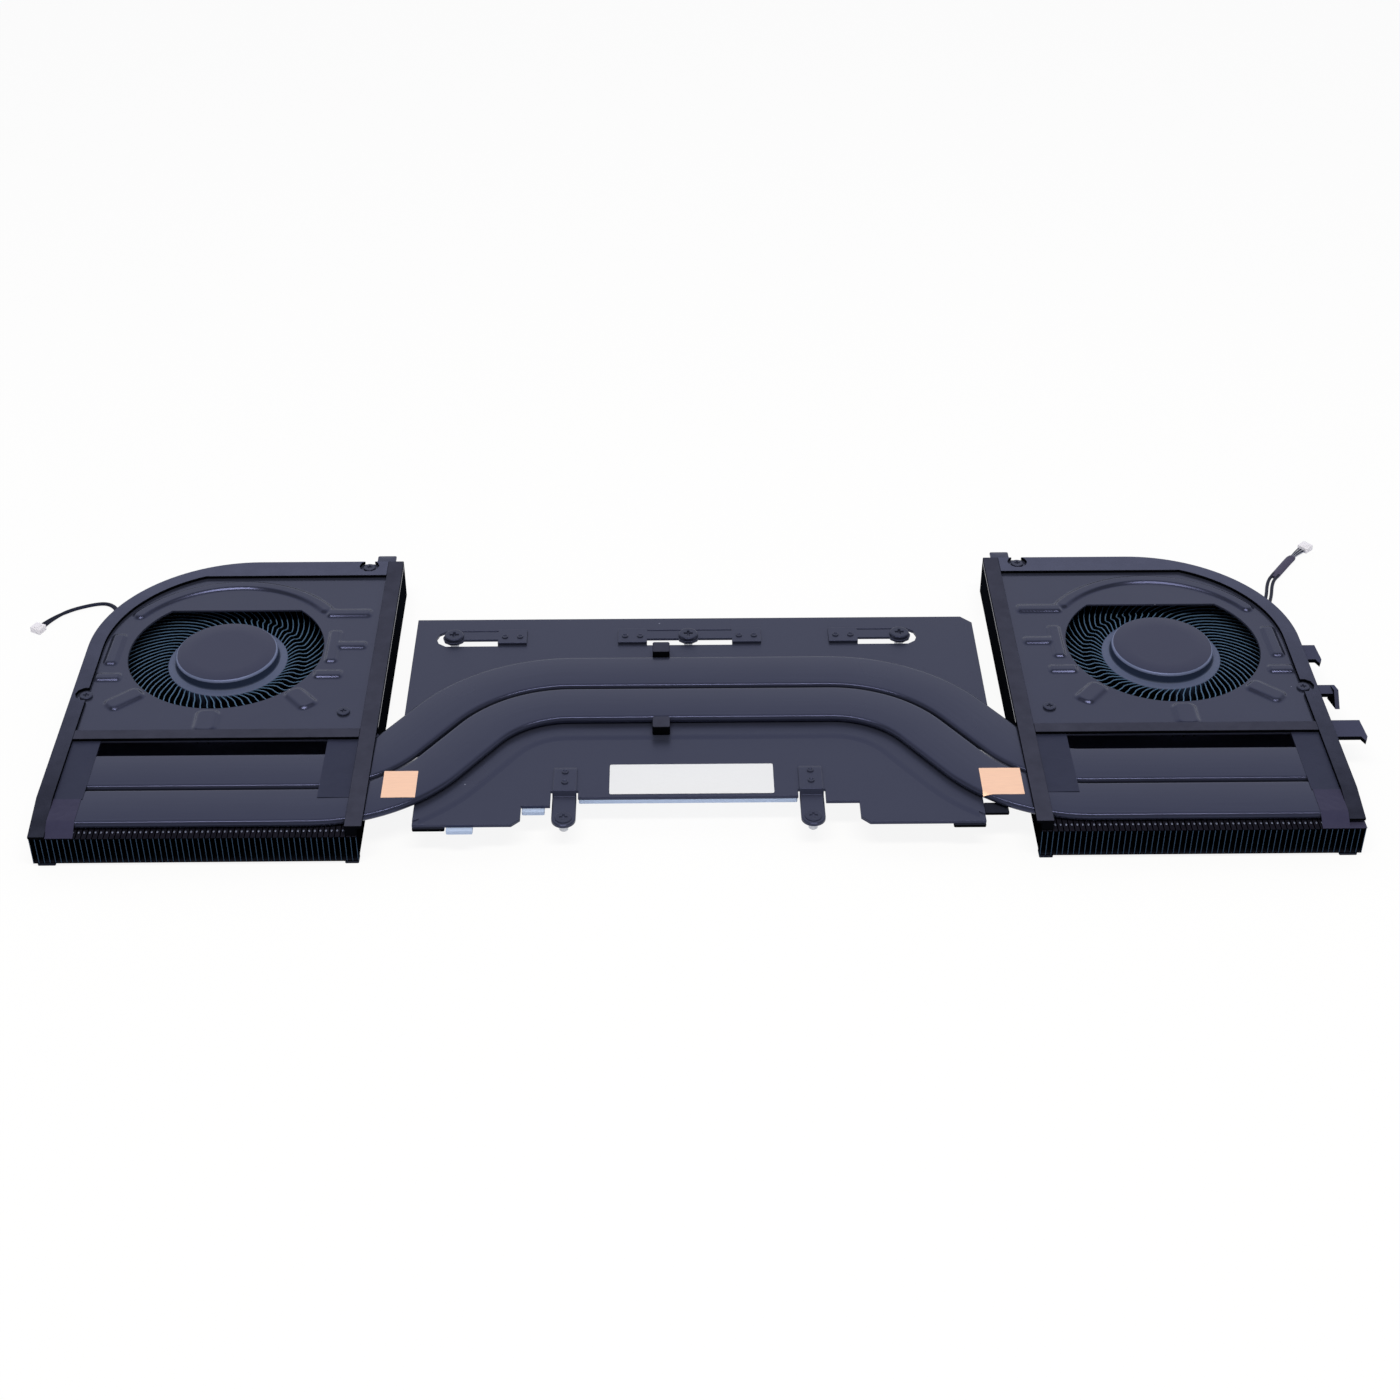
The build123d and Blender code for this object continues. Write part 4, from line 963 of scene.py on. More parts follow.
FIN_THICKNESS = 0.18 * MM
FIN_FOLD = 0.3 * MM              # thickness of the folded flanges with their solder
FIN_SEAM = 0.26 * MM             # gap between two flanges, drawn wide enough to show
FIN_LEAN = 0.05 * MM             # drop of an upper flange's free edge
FIN_REAR = 32.15 * MM
FIN_ENDS = np.array([[0, 1, 2, 3], [0, 3, 4, 7], [4, 5, 6, 7]])  # lower flange, web, upper flange
STACK_START, STACK_END = 1.5 * MM, 0.2 * MM  # module's inner and outer side to the stack
CATCH_PROFILE = np.array([       # radius and height of a catch
    (0.0, 0.14), (0.18, 0.1), (0.28, 0.0), (0.18, -0.1), (0.0, -0.14),
]) * MM
CATCH_STEPS = 8
CATCH_STRETCH = np.array([1.0, 1.5, 1.0])
CATCH_SHARE = 0.55               # fin to its catch, as a share of the pitch
CATCH_Y, CATCH_SINK = 3.1 * MM, 0.02 * MM
FOOT_DEPTH = 3 * MM
OUTER_FOOT, INNER_FOOT = (5.5 * MM, 1.0 * MM), 3.5 * MM  # from the stack's outer and inner end
FOOT_ROUND = (0.3 * MM, 0.1 * MM)    # corner and edge radius
COAT, CATCH, EDGE, FOOT = range(4)   # order of a stack's finishes


def fin_shells(module):
    """Fins folded to a C: an upright sheet with a flange above and below, from front to rear.

    On each upper flange sits a small rounded catch, just in front of the pipe."""
    first, last = module.inner_edge + STACK_START, module.outer_edge - STACK_END
    count = module.fin_count
    pitch = (last - first - FIN_THICKNESS) / (count - 1)
    start = first + np.arange(count) * pitch
    above = np.maximum(np.minimum(pitch - FIN_SEAM, last - start), FIN_THICKNESS)
    below = np.minimum(pitch, last - start)
    web = np.full_like(start, FIN_THICKNESS)
    zero = np.zeros_like(start)
    x = start[:, None] + np.stack([zero, below, below, web, web, above, above, zero], axis=-1)
    foot, fold, top = zero + FIN_LOW, zero + FIN_LOW + FIN_FOLD, zero + FIN_TOP
    tip = FIN_TOP - FIN_LEAN * (above > FIN_THICKNESS + MERGE)
    z = np.stack([foot, foot, fold, fold, top - FIN_FOLD, tip - FIN_FOLD, tip, top], axis=-1)
    y = np.array([FIN_FRONT, FIN_REAR])
    points = np.stack(np.broadcast_arrays(x[:, None], y[None, :, None], z[:, None]), axis=-1)
    columns = x.shape[1]
    walls = grid_quads(len(y), columns, close_columns=True)
    quads = np.concatenate([walls, FIN_ENDS, FIN_ENDS[:, ::-1] + columns])
    fins = points.reshape(-1, 3), numbered_on([quads], count, len(y) * columns)
    places = np.stack([start[:-1] + pitch * CATCH_SHARE, np.full(count - 1, CATCH_Y),
                       np.full(count - 1, FIN_TOP - CATCH_SINK)], axis=-1)
    catch_points, catch_faces = revolved(CATCH_PROFILE, CATCH_STEPS)
    catches = copies(catch_points * CATCH_STRETCH, catch_faces, places)
    feet = [rounded_slab((x0, FIN_FRONT, 0.0), (x1, FIN_FRONT + FOOT_DEPTH, FIN_LOW), *FOOT_ROUND)
            for x0, x1 in ((last - OUTER_FOOT[0], last - OUTER_FOOT[1]),
                           (first, first + INNER_FOOT))]
    one_fin = np.where(np.arange(len(quads)) == len(walls) + 1, EDGE, COAT)
    bands = [np.tile(one_fin, count), shell_bands([catches] + feet, [CATCH, FOOT, FOOT])]
    return joined([fins, catches] + feet), np.concatenate(bands)


class HEATSINK_OT_fin_stacks(bpy.types.Operator):
    """Stacks of thin folded fins"""
    bl_idname = "heatsink.fin_stacks"
    bl_label = "Fin stacks"

    def execute(self, context):
        module, _, colour, _ = settings()
        finishes = [
            coated_fin_finish("black_coated_aluminium_fins", colour.fin),
            # Painted glint: the catches are pale where light glints on them.
            metal_finish("painted_glint_aluminium_catches", colour.catch, 0.4, 0.6, 0.4 * MM),
            moulded_finish("cut_fin_edges", colour.fin_edge, 0.6, gloss=0.0),
            moulded_finish("black_coated_feet", colour.screw, 0.6, gloss=0.0),
        ]
        shell, bands = fin_shells(module)
        for name, side in SIDES:
            add_shell(name + "_fins", shell, "black_fins", finishes, [name + "_fin_stack"],
                      side=side, bands=bands)
        return {"FINISHED"}


# Housings, plate, springs and arms


class HEATSINK_OT_housings(bpy.types.Operator):
    """Trays under the covers, with rounded rims"""
    bl_idname = "heatsink.housings"
    bl_label = "Housings"

    def execute(self, context):
        _, _, colour, _ = settings()
        # Painted light and shade: level tops of the trays take the lighter housing colour, upright
        # faces near black.
        plastic = moulded_finish("moulded_black_housing", colour.housing, 0.65, gloss=0.0,
                                 side="#0c0e13")
        for name, _ in SIDES:
            softened_copy(name + "_fan_housing", plastic, 0.2 * MM)
        return {"FINISHED"}


ARM_HALF, ARM_THICKNESS = 3.1 * MM, 0.7 * MM
ARM_EYE, ARM_REAR = 8.6 * MM, 27.5 * MM
ARM_BEND, ARM_SLOPE, ARM_DROP = 17.9 * MM, 0.9 * MM, 1.5 * MM    # start, length, fall of the step
ARM_ROLL, ARM_ROLL_WIDTH = 0.22 * MM, 0.4 * MM   # fall of the rolled rims, and their width
ARM_STRETCHES = ((ARM_EYE, 16.8 * MM), (16.9 * MM, 18.1 * MM), (18.4 * MM, ARM_REAR))
ARM_TURN = np.radians(np.linspace(86.0, 4.0, 16))    # rows of the round end, round the eye
ARM_ROWS, ARM_COLUMNS = 14, 41   # rows of each stretch, and points across
LAND_FRONT = 26.05 * MM          # rear pipe's line to the front of the plate's raised land
LAND_END = 71.0 * MM             # mid-plane to the land's ends
LAND_SLOPE = np.array([          # distance past the land's front, and height above the land
    (1.95, -0.31), (1.5, -0.27), (0.9, -0.12), (0.3, -0.01), (-0.1, 0.005),
]) * MM
LAND_SHEET = 0.02 * MM


def arm_shell(x):
    """Arm as a bent sheet: level, down over a soft step, level, with a half-round end.

    Its half width is the arm's, and past the eye the half chord of the round end.
    Near the rim it falls away. Rows are close together where the sheet bends."""
    line = np.concatenate([ARM_EYE - ARM_HALF * np.sin(ARM_TURN)]
                          + [np.linspace(*ends, ARM_ROWS) for ends in ARM_STRETCHES])
    chord = np.sqrt(np.maximum(ARM_HALF ** 2 - (ARM_EYE - line) ** 2, 0.0))
    half = np.where(line < ARM_EYE, chord, ARM_HALF)
    share = np.sin(np.linspace(-np.pi / 2, np.pi / 2, ARM_COLUMNS))[:, None]
    to_end = np.minimum(line - line[0], ARM_REAR - line)
    to_rim = np.minimum((1.0 - np.abs(share)) * half, to_end)
    rolled = ARM_ROLL * (1.0 - smooth(to_rim / ARM_ROLL_WIDTH))
    level = SPRING_TOP - ARM_DROP * smooth((ARM_BEND - line) / ARM_SLOPE)
    y = np.broadcast_to(line, to_rim.shape)
    return thin_sheet(x + share * half, y, level - rolled, ARM_THICKNESS)


def land_line(pipe, shift, side):
    """Line of the land's front, parallel to the pipes.

    It is a run, an arc, and the part of the lower arc that lies on the plate."""
    _, centre_x, centre_y = bend_places(pipe, side)
    radius = pipe.lower_radius + shift
    turn = np.linspace(pipe.bend, math.asin((centre_x - LAND_END) / radius), ARC_STEPS)
    lower = np.stack([centre_x - radius * np.sin(turn), centre_y - radius * np.cos(turn)], axis=-1)
    upper = pipe_half(pipe, shift, side)[:ARC_STEPS + 1]
    return np.concatenate([upper, lower * np.array([side, 1.0])])


def land_ramp(pipe):
    """Soft slope from the land down to the plate.

    It is made of lines side by side, each further out and lower."""
    lines = [both_halves(land_line, pipe, LAND_FRONT + out) for out in LAND_SLOPE[:, 0]]
    plan = np.stack(lines, axis=1)
    height = np.broadcast_to(FIN_TOP + LAND_SLOPE[:, 1], plan.shape[:2])
    return thin_sheet(plan[..., 0], plan[..., 1], height, LAND_SHEET)


class HEATSINK_OT_plate_and_springs(bpy.types.Operator):
    """Stamped plate with its leaf springs and bent arms"""
    bl_idname = "heatsink.plate_and_springs"
    bl_label = "Plate and springs"

    def execute(self, context):
        _, pipe, colour, _ = settings()
        plate = satin_paint("satin_black_stamped_steel", colour.paint, 0.32, peel=2.0 * MM)
        spring = satin_paint("satin_black_spring_steel", colour.paint, 0.36, peel=0.8 * MM,
                             dust=False)
        softened_copy("base_plate", plate, 0.12 * MM)
        add_shell("base_plate_land_ramp", land_ramp(pipe), "black_sheet", [plate])
        for name in ("left_rear_spring", "centre_rear_spring", "right_rear_spring"):
            softened_copy(name, spring, 0.15 * MM)
        for name in ("left_front_arm", "right_front_arm"):
            arm = arm_shell(middle_of(name).x - DRAWING_ORIGIN[0])
            add_shell(name + "_sheet", arm, "black_sheet", [spring], [name])
        return {"FINISHED"}


# Screws and rivets

SCREW_STEPS = 56
HEAD_TOP = (0.0, 0.05, 0.1, 0.15, 0.2, 0.25, 0.3, 0.36, 0.42, 0.48, 0.54, 0.6, 0.68, 0.76, 0.84)
HEAD_RIM = ((0.9, 0.98), (0.95, 0.9), (0.99, 0.72), (1.0, 0.5), (1.0, 0.04), (0.98, 0.0))
SCREW_TIP = 0.2 * MM             # chamfer at a screw's tip
# Recess, as shares of the head's radius: half width of its wings, their reach, and radius of
# its middle, each with the width of the slope
WING_HALF, WING_REACH, WING_MIDDLE = (0.14, 0.06), (0.5, 0.1), (0.26, 0.12)
# Head's radius and height, neck's radius and length, shank's radius, length below the head,
# and depth of the recess
COVER_SCREW = np.array([1.75, 0.6, 0.8, 0.1, 0.8, 2.5, 0.35]) * MM
SPRING_SCREW = np.array([2.7, 0.9, 0.95, 1.1, 1.2, 3.8, 0.6]) * MM
ARM_SCREW = np.array([2.2, 0.2, 0.95, 1.1, 1.2, 3.8, 0.5]) * MM
SCREW_BANDS = [0] * 20 + [1] * 3 + [0]   # finish of each ring: black head, bright shank, black tip
COVER_SCREWS = np.array([(164.2, 57.5), (94.3, 49.6), (94.3, 119.3)]) * MM
SPRING_SCREWS = np.array([(-67.5, 86.6), (-2.0, 86.6), (57.2, 86.6)]) * MM
ARM_SCREWS = np.array([(-34.5, 8.6), (29.0, 8.6)]) * MM
SPRING_PADS = np.array([-51.2, -17.6, 14.3, 41.4]) * MM
RIVET_STEPS = 28
RIVET_PROFILE = np.array([       # radius and height: a low ring with a dished middle
    (0.0, 0.1), (0.25, 0.1), (0.45, 0.14), (0.6, 0.25), (0.72, 0.3), (0.82, 0.26), (0.9, 0.12),
    (0.9, 0.0), (0.0, 0.0),
]) * MM
RIVET_SHIFTS = (-2.1 * MM, 2.1 * MM)     # pair of rivets, from the middle of its pad
ARM_RIVET_Y = 23.25 * MM


def screw_shell(head, height, neck, neck_drop, shank, length, recess):
    """Pan-head screw turned round its axis, with a cross recess pressed into its top.

    The recess is the larger of two dips: one along the nearer axis and one round the middle."""
    top = [(share * head, height) for share in HEAD_TOP]
    rim = [(share * head, rise * height) for share, rise in HEAD_RIM]
    step = [(neck, -neck_drop), (shank, -neck_drop)] if neck != shank else []
    foot = [(shank, SCREW_TIP - length), (shank - SCREW_TIP, -length), (0.0, -length)]

    def cross(x, y, z):
        """Depth of the recess at places of the head's top."""
        narrow, reach = np.minimum(np.abs(x), np.abs(y)) / head, np.hypot(x, y) / head
        wing, end, middle = (smooth((size - place) / slope) for place, (size, slope) in (
            (narrow, WING_HALF), (reach, WING_REACH), (reach, WING_MIDDLE)))
        return -recess * np.maximum(wing * end, middle) * (z > 0.9 * height)

    return revolved(np.array(top + rim + [(neck, 0.0)] + step + foot), SCREW_STEPS, cross)


def at_height(places, height):
    """Places in plan, with one height for all."""
    return np.concatenate([places, np.full((len(places), 1), height)], axis=1)


class HEATSINK_OT_screws_and_rivets(bpy.types.Operator):
    """Cover screws, captive screws and rivets"""
    bl_idname = "heatsink.screws_and_rivets"
    bl_label = "Screws and rivets"

    def execute(self, context):
        _, _, colour, _ = settings()
        steel = satin_paint("blacked_screw_steel", colour.screw, 0.34, peel=0.6 * MM, dust=False)
        zinc = metal_finish("zinc_plated_shank", linear("#c9ccd4"), 0.35, 0.4, 0.3 * MM)
        cover = copies(*screw_shell(*COVER_SCREW), at_height(COVER_SCREWS, COVER_TOP))
        for name, side in SIDES:
            add_shell(name + "_cover_screw_heads", cover, "black_screw", [steel],
                      [name + "_cover_screws"], side=side)
        heads = [copies(*screw_shell(*SPRING_SCREW), at_height(SPRING_SCREWS, SPRING_TOP)),
                 copies(*screw_shell(*ARM_SCREW), at_height(ARM_SCREWS, SPRING_TOP - ARM_DROP))]
        sides, caps = np.repeat(SCREW_BANDS, SCREW_STEPS), np.zeros(2 * SCREW_STEPS, int)
        bands = [np.tile(band, len(places)) for places in (SPRING_SCREWS, ARM_SCREWS)
                 for band in (sides, caps)]
        add_shell("captive_screw_heads", joined(heads), "black_screw", [steel, zinc],
                  ["captive_screws"], bands=np.concatenate(bands))
        pads = [(x + shift, SPRING_SCREWS[0, 1]) for x in SPRING_PADS for shift in RIVET_SHIFTS]
        arms = [(x, ARM_RIVET_Y + shift) for x in ARM_SCREWS[:, 0] for shift in RIVET_SHIFTS]
        rivets = copies(*revolved(RIVET_PROFILE, RIVET_STEPS),
                        at_height(np.array(pads + arms), SPRING_TOP))
        add_shell("rivet_heads", rivets, "black_screw", [steel], ["spring_rivets"])
        return {"FINISHED"}


# Gaskets and foam blocks

GASKET_ROUND = 0.22 * MM
PEEL_END, PEEL_LIFT = 2.7 * MM, 0.8 * MM     # where the right strip's loose end lies, and how high
BLOCK_ROUND = (0.5 * MM, 0.35 * MM)  # corner and edge radius of the foam blocks


def peel_end(mesh):
    """Lifts the front end of a gasket off the tape: its end corners go back and up."""
    places = np.zeros(len(mesh.vertices) * 3)
    mesh.vertices.foreach_get("co", places)
    places = places.reshape(-1, 3) - DRAWING_ORIGIN
    end = places[:, 1] < FIN_FRONT + 0.1 * MM
    places[end, 1] = PEEL_END
    places[end, 2] += PEEL_LIFT
    mesh.vertices.foreach_set("co", to_frame(places).ravel())
    mesh.update()


class HEATSINK_OT_gaskets(bpy.types.Operator):
    """Foam strips round the covers, and foam blocks at the pipes"""
    bl_idname = "heatsink.gaskets"
    bl_label = "Gaskets and foam blocks"

    def execute(self, context):
        _, _, colour, _ = settings()
        # The outer strips carry the painted rear sheen, paler towards the rear.
        foam = foam_finish("black_urethane_foam", colour.foam, 0.45 * MM, 0.08 * MM, painted_rear_sheen=True)
        skin = foam_finish("skinned_black_foam", colour.skin, 0.7 * MM, 0.03 * MM)
        for name, side in SIDES:
            strip = softened_copy(name + "_outer_gasket", foam, GASKET_ROUND, 3)
            if side > 0:
                peel_end(strip.data)
            softened_copy(name + "_inner_gasket", skin, GASKET_ROUND, 3)
            softened_copy(name + "_cross_gasket", skin, GASKET_ROUND, 3)
        for name in ("rear_foam_block", "front_foam_block"):
            block = rounded_slab(*drawing_box(name), *BLOCK_ROUND)
            add_shell(name + "_cut", block, "foam", [skin], [name])
        return {"FINISHED"}


# Films, tapes and foils

FILM = 0.15 * MM                 # rise of films and tapes above what they lie on
FILM_SHEET, FOIL_SHEET = 0.08 * MM, 0.04 * MM    # thickness of films and tapes, and of foils
FILM_FRONT = 13.5 * MM
FILM_WAVE = 0.03 * MM            # height of the films' slack waves and the foils' ripples
# Length over which each of two crossing sine waves turns by one radian
FILM_LENGTHS, TAPE_LENGTHS = (1.9 * MM, 6 * MM), (0.9 * MM, 1.7 * MM)
FOIL_LENGTHS = (1.3 * MM, 1.9 * MM)
TAPE_INNER, TAPE_OUTER = 156.8 * MM, 163.8 * MM
TAPE_FRONT = FIN_FRONT + 0.1 * MM
TAPE_CREASE = 0.042 * MM         # depth of the tapes' creases
PIPE_FRONT = 3.95 * MM           # front side of the front pipe
FILMS = (("inner_film", 88.9 * MM, SLOT_START), ("outer_film", SLOT_END, TAPE_OUTER))
FOIL_FOLD = 0.8                  # how steeply a foil bends down past the pipe


def film_shell(start, end):
    """Flat film over the pipes' ends, lifted off them by a slack wave that changes with x and y."""
    x, y = sheet_grid(start, end, FILM_FRONT, BAR_FRONT, 14, 36)
    across, along = FILM_LENGTHS
    wave = np.sin(x / across + 2 * np.sin(y / along)) - 1.0
    return thin_sheet(x, y, COVER_TOP + FILM + FILM_WAVE * wave, FILM_SHEET)


def tape_shell(module):
    """Tape over the pipes' ends: level on the pipe, then down over its side to the fins.

    Its slanting creases are where two crossing sine waves pass zero.
    A lap of it lies on the fins' outer corner, below the end of the gasket."""
    x, y = sheet_grid(TAPE_INNER, TAPE_OUTER, TAPE_FRONT, FILM_FRONT, 26, 60)
    on_fins, on_pipe = FIN_TOP + FILM, COVER_TOP + FILM
    ramp = smooth((y - FIN_FRONT) / (PIPE_FRONT + 1.4 * MM - FIN_FRONT))
    one, other = TAPE_LENGTHS
    crease = np.sin((x * 0.8 + y * 1.1) / one) * np.sin((x * 1.3 - y * 0.5) / other)
    within = smooth((FILM_FRONT - y) / (2 * MM)) * smooth(y / (4 * MM))
    sunk = TAPE_CREASE * (1.0 - np.abs(crease)) * within
    sheet = thin_sheet(x, y, on_fins + (on_pipe - on_fins) * ramp - sunk, FILM_SHEET)
    x, y = sheet_grid(TAPE_OUTER, module.outer_edge, TAPE_FRONT, PEEL_END + 2 * MM, 8, 8)
    return joined([sheet, thin_sheet(x, y, np.full_like(x, on_fins), FILM_SHEET)])


def foil_shell(pipe, node, side):
    """Foil square on the pipe: nearly flat, with a fine ripple.

    Where it runs out past the pipe's front side it bends down, more with the distance past it."""
    low, high = drawing_box(node)
    x, y = sheet_grid(low[0], high[0], low[1], high[1], 40, 40)
    _, centre_x, centre_y = bend_places(pipe, side)
    side_radius = pipe.lower_radius + pipe.pitch + pipe.width / 2 - 0.9 * MM
    past = np.maximum(np.hypot(x - side * centre_x, y - centre_y) - side_radius, 0.0)
    bend = FOIL_FOLD * past ** 2 / (past + 1.0 * MM)
    one, other = FOIL_LENGTHS
    ripple = np.sin((x + 0.6 * y) / one) * np.sin((y - 0.4 * x) / other) - 1.0
    return thin_sheet(x, y, high[2] + FILM_WAVE * ripple - bend, FOIL_SHEET)


class HEATSINK_OT_films_and_foils(bpy.types.Operator):
    """Films and tapes over the pipes' ends, and copper foil squares"""
    bl_idname = "heatsink.films_and_foils"
    bl_label = "Films, tapes and foils"

    def execute(self, context):
        module, pipe, colour, _ = settings()
        film = film_finish("black_polyester_film", colour.film, 0.38, 5 * MM, 0.05 * MM)
        tape = film_finish("black_cloth_tape", colour.tape, 0.55, 3.0 * MM, 0.05 * MM, 0.15)
        copper = metal_finish("copper_foil", colour.copper, 0.42, 0.5, 0.35 * MM)
        for name, side in SIDES:
            for kind, start, end in FILMS:
                node = name + "_" + kind
                add_shell(node + "_sheet", film_shell(start, end), "film", [film], [node],
                          side=side)
            node = name + "_end_tape"
            add_shell(node + "_sheet", tape_shell(module), "film", [tape], [node], side=side)
            node = name + "_copper_foil"
            add_shell(node + "_square", foil_shell(pipe, node, side), "copper", [copper], [node])
        return {"FINISHED"}


# Label, pads and contact blocks

# Lowest and highest corner of each pad at the plate's front corners
EDGE_PADS = np.array([
    (-72.6, 4.8, 6.5, -64.4, 11.8, 7.5),
    (64.4, 4.8, 6.5, 72.6, 11.8, 7.5),
    (72.6, 8.4, 7.5, 78.8, 12.6, 8.4),
]) * MM
PAD_ROUND, LABEL_ROUND = (0.4 * MM, 0.25 * MM), (0.5 * MM, 0.03 * MM)    # corner and edge radius


class HEATSINK_OT_label_and_pads(bpy.types.Operator):
    """Blank label, soft pads and copper blocks of the plate"""
    bl_idname = "heatsink.label_and_pads"
    bl_label = "Label, pads and blocks"

    def execute(self, context):
        _, _, colour, _ = settings()
        paper = soft_finish("white_label_paper", colour.label, 0.6, 0.6 * MM, 0.008 * MM,
                            0.97, 1.02)
        silicone = soft_finish("pale_blue_silicone_pad", colour.pad, 0.65, 0.8 * MM, 0.03 * MM)
        foam = foam_finish("black_edge_foam", colour.screw, 0.45 * MM, 0.08 * MM)
        copper = metal_finish("milled_copper", colour.copper, 0.3, 1.0, 0.25 * MM)
        label = rounded_slab(*drawing_box("blank_label"), *LABEL_ROUND)
        add_shell("blank_label_paper", label, "label", [paper], ["blank_label"])
        softened_copy("thermal_pads", silicone, 0.3 * MM, 3)
        pads = [rounded_slab(row[:3], row[3:], *PAD_ROUND) for row in EDGE_PADS]
        add_shell("edge_pads_softened", joined(pads), "foam", [foam], ["edge_pads"])
        for name in ("left_contact_block", "right_contact_block"):
            softened_copy(name, copper, 0.25 * MM)
        return {"FINISHED"}


# Leads

LEFT_ROUTE = np.array([
    (-161.80, 104.45, 0.7), (-166.05, 109.88, 0.7), (-169.5, 116.7, 0.5), (-174.2, 117.8, 0.5),
    (-184.7, 112.6, 0.5), (-188.1, 105.9, 0.6),
]) * MM
RIGHT_ROUTE = np.array([
    (161.80, 104.45, 1.0), (166.05, 109.88, 0.8), (168.8, 115.8, 0.6), (171.0, 124.8, 0.6),
    (173.9, 128.8, 0.6), (181.6, 139.6, 0.6), (184.4, 142.0, 0.6),
]) * MM
# Side, route, length, half width, shares of the route where the sleeve starts and ends,
# sleeve's half width and half height, then number, half thickness and finishes of the plug's wires
LEADS = (
    ("left", LEFT_ROUTE, 36.53 * MM, 0.7 * MM, (0.26, 0.8), (0.7 * MM, 0.42 * MM),
     (4, 0.27 * MM, (0,))),
    ("right", RIGHT_ROUTE, 44.03 * MM, 1.0 * MM, (0.57, 0.88), (1.35 * MM, 0.45 * MM),
     (6, 0.16 * MM, (2, 0))),
)
LINE_STEPS = 24                  # points for each part of a lead's spline
SLEEVE_LAP = (0.05, 0.04)        # shares of the route that strands and wires run into the sleeve
STRAND_STEPS, SLEEVE_STEPS, WIRE_STEPS = 12, 20, 8
STRAND_ASIDE, STRAND_HALF = 0.72, 0.5    # strands' places and half widths, in half widths
SLEEVE_END, SLEEVE_TAPER = 0.2, 3.0  # share lost at a sleeve's ends, over so many points
WIRE_FAN, WIRE_ASIDE = (0.5, 1.5), 0.8   # spread of the wires, and outer wires' share of it
PLUG_SIZE = np.array([3.2, 3.4, 1.7]) * MM   # length, width, height
PLUG_ROUND, LATCH_ROUND = (0.25 * MM, 0.12 * MM), (0.2 * MM, 0.1 * MM)   # corner and edge radius
LATCH = np.array([(0.7, -0.8, 1.6), (2.6, 0.8, 1.85)]) * MM  # lowest and highest corner


def lead_line(route):
    """Points along a lead: a NURBS spline whose control points are the route's points."""
    curve = bpy.data.curves.new("lead_line", "CURVE")
    curve.dimensions = "3D"
    curve.resolution_u = LINE_STEPS
    spline = curve.splines.new("NURBS")
    spline.points.add(len(route) - 1)
    places = np.concatenate([route, np.ones((len(route), 1))], axis=1)
    spline.points.foreach_set("co", places.ravel())
    spline.order_u = 3
    spline.use_endpoint_u = True
    holder = bpy.data.objects.new("lead_line", curve)
    mesh = bpy.data.meshes.new_from_object(holder)
    points = np.zeros(len(mesh.vertices) * 3)
    mesh.vertices.foreach_get("co", points)
    bpy.data.objects.remove(holder)
    bpy.data.meshes.remove(mesh)
    bpy.data.curves.remove(curve)
    return points.reshape(-1, 3)


def strand(line, aside, half_width, half_height, steps):
    """Strand along part of a lead: an ellipse carried along the line.

    It lies beside the line by a length that may change along it, as its half width may."""
    turn = np.linspace(0.0, 2 * np.pi, steps, endpoint=False)
    x, y = carried(line[:, :2], aside[:, None] + half_width[:, None] * np.cos(turn))
    z = line[:, 2:] + half_height * np.sin(turn)
    ring = np.arange(steps)[None]
    quads = grid_quads(len(line), steps, close_columns=True)[:, ::-1]
    points = np.stack([x, y, z], axis=-1).reshape(-1, 3)
    return points, [quads, ring[:, ::-1], (len(line) - 1) * steps + ring]


def lead_shells(line, half_width, covered, sleeve, wires):
    """Lead in three parts: two strands out of the housing, a flat sleeve that narrows a little at
    its ends, and fine wires that fan out to the plug."""
    travel = travel_along(line)
    share = travel / travel[-1]
    first = line[share <= covered[0] + SLEEVE_LAP[0]]
    flat = line[(share >= covered[0]) & (share <= covered[1])]
    last = line[share >= covered[1] - SLEEVE_LAP[1]]
    level, thick = np.ones(len(first)), STRAND_HALF * half_width
    aside = STRAND_ASIDE * half_width * level
    shells = [strand(first, side * aside, thick * level, thick, STRAND_STEPS)
              for side in (-1, 1)]
    number = np.arange(len(flat))
    ends = smooth(np.minimum(number, number[::-1]) / SLEEVE_TAPER)
    wide = sleeve[0] * (1.0 - SLEEVE_END + SLEEVE_END * ends)
    shells.append(strand(flat, np.zeros(len(flat)), wide, sleeve[1], SLEEVE_STEPS))
    count, fine, tones = wires
    spread = np.linspace(*WIRE_FAN, len(last)) * half_width
    shells += [strand(last, place * spread, np.full(len(last), fine), fine, WIRE_STEPS)
               for place in np.linspace(-WIRE_ASIDE, WIRE_ASIDE, count)]
    finishes = [0, 0, 1] + [tones[wire % len(tones)] for wire in range(count)]
    return joined(shells), shell_bands(shells, finishes)


def plug_shell(route):
    """Plug in line with the lead's last run: a body with round rims, and a latch on top."""
    end, before = route[-1], route[-2]
    heading = (end - before) / np.linalg.norm(end - before)
    along, aside, _ = heading
    turn = np.array([[along, -aside, 0.0], [aside, along, 0.0], [0.0, 0.0, 1.0]])
    length, width, height = PLUG_SIZE
    body = rounded_slab((0.0, -width / 2, 0.0), (length, width / 2, height), *PLUG_ROUND)
    points, faces = joined([body, rounded_slab(*LATCH, *LATCH_ROUND)])
    return points @ turn.T + np.array([end[0], end[1], 0.0]), faces


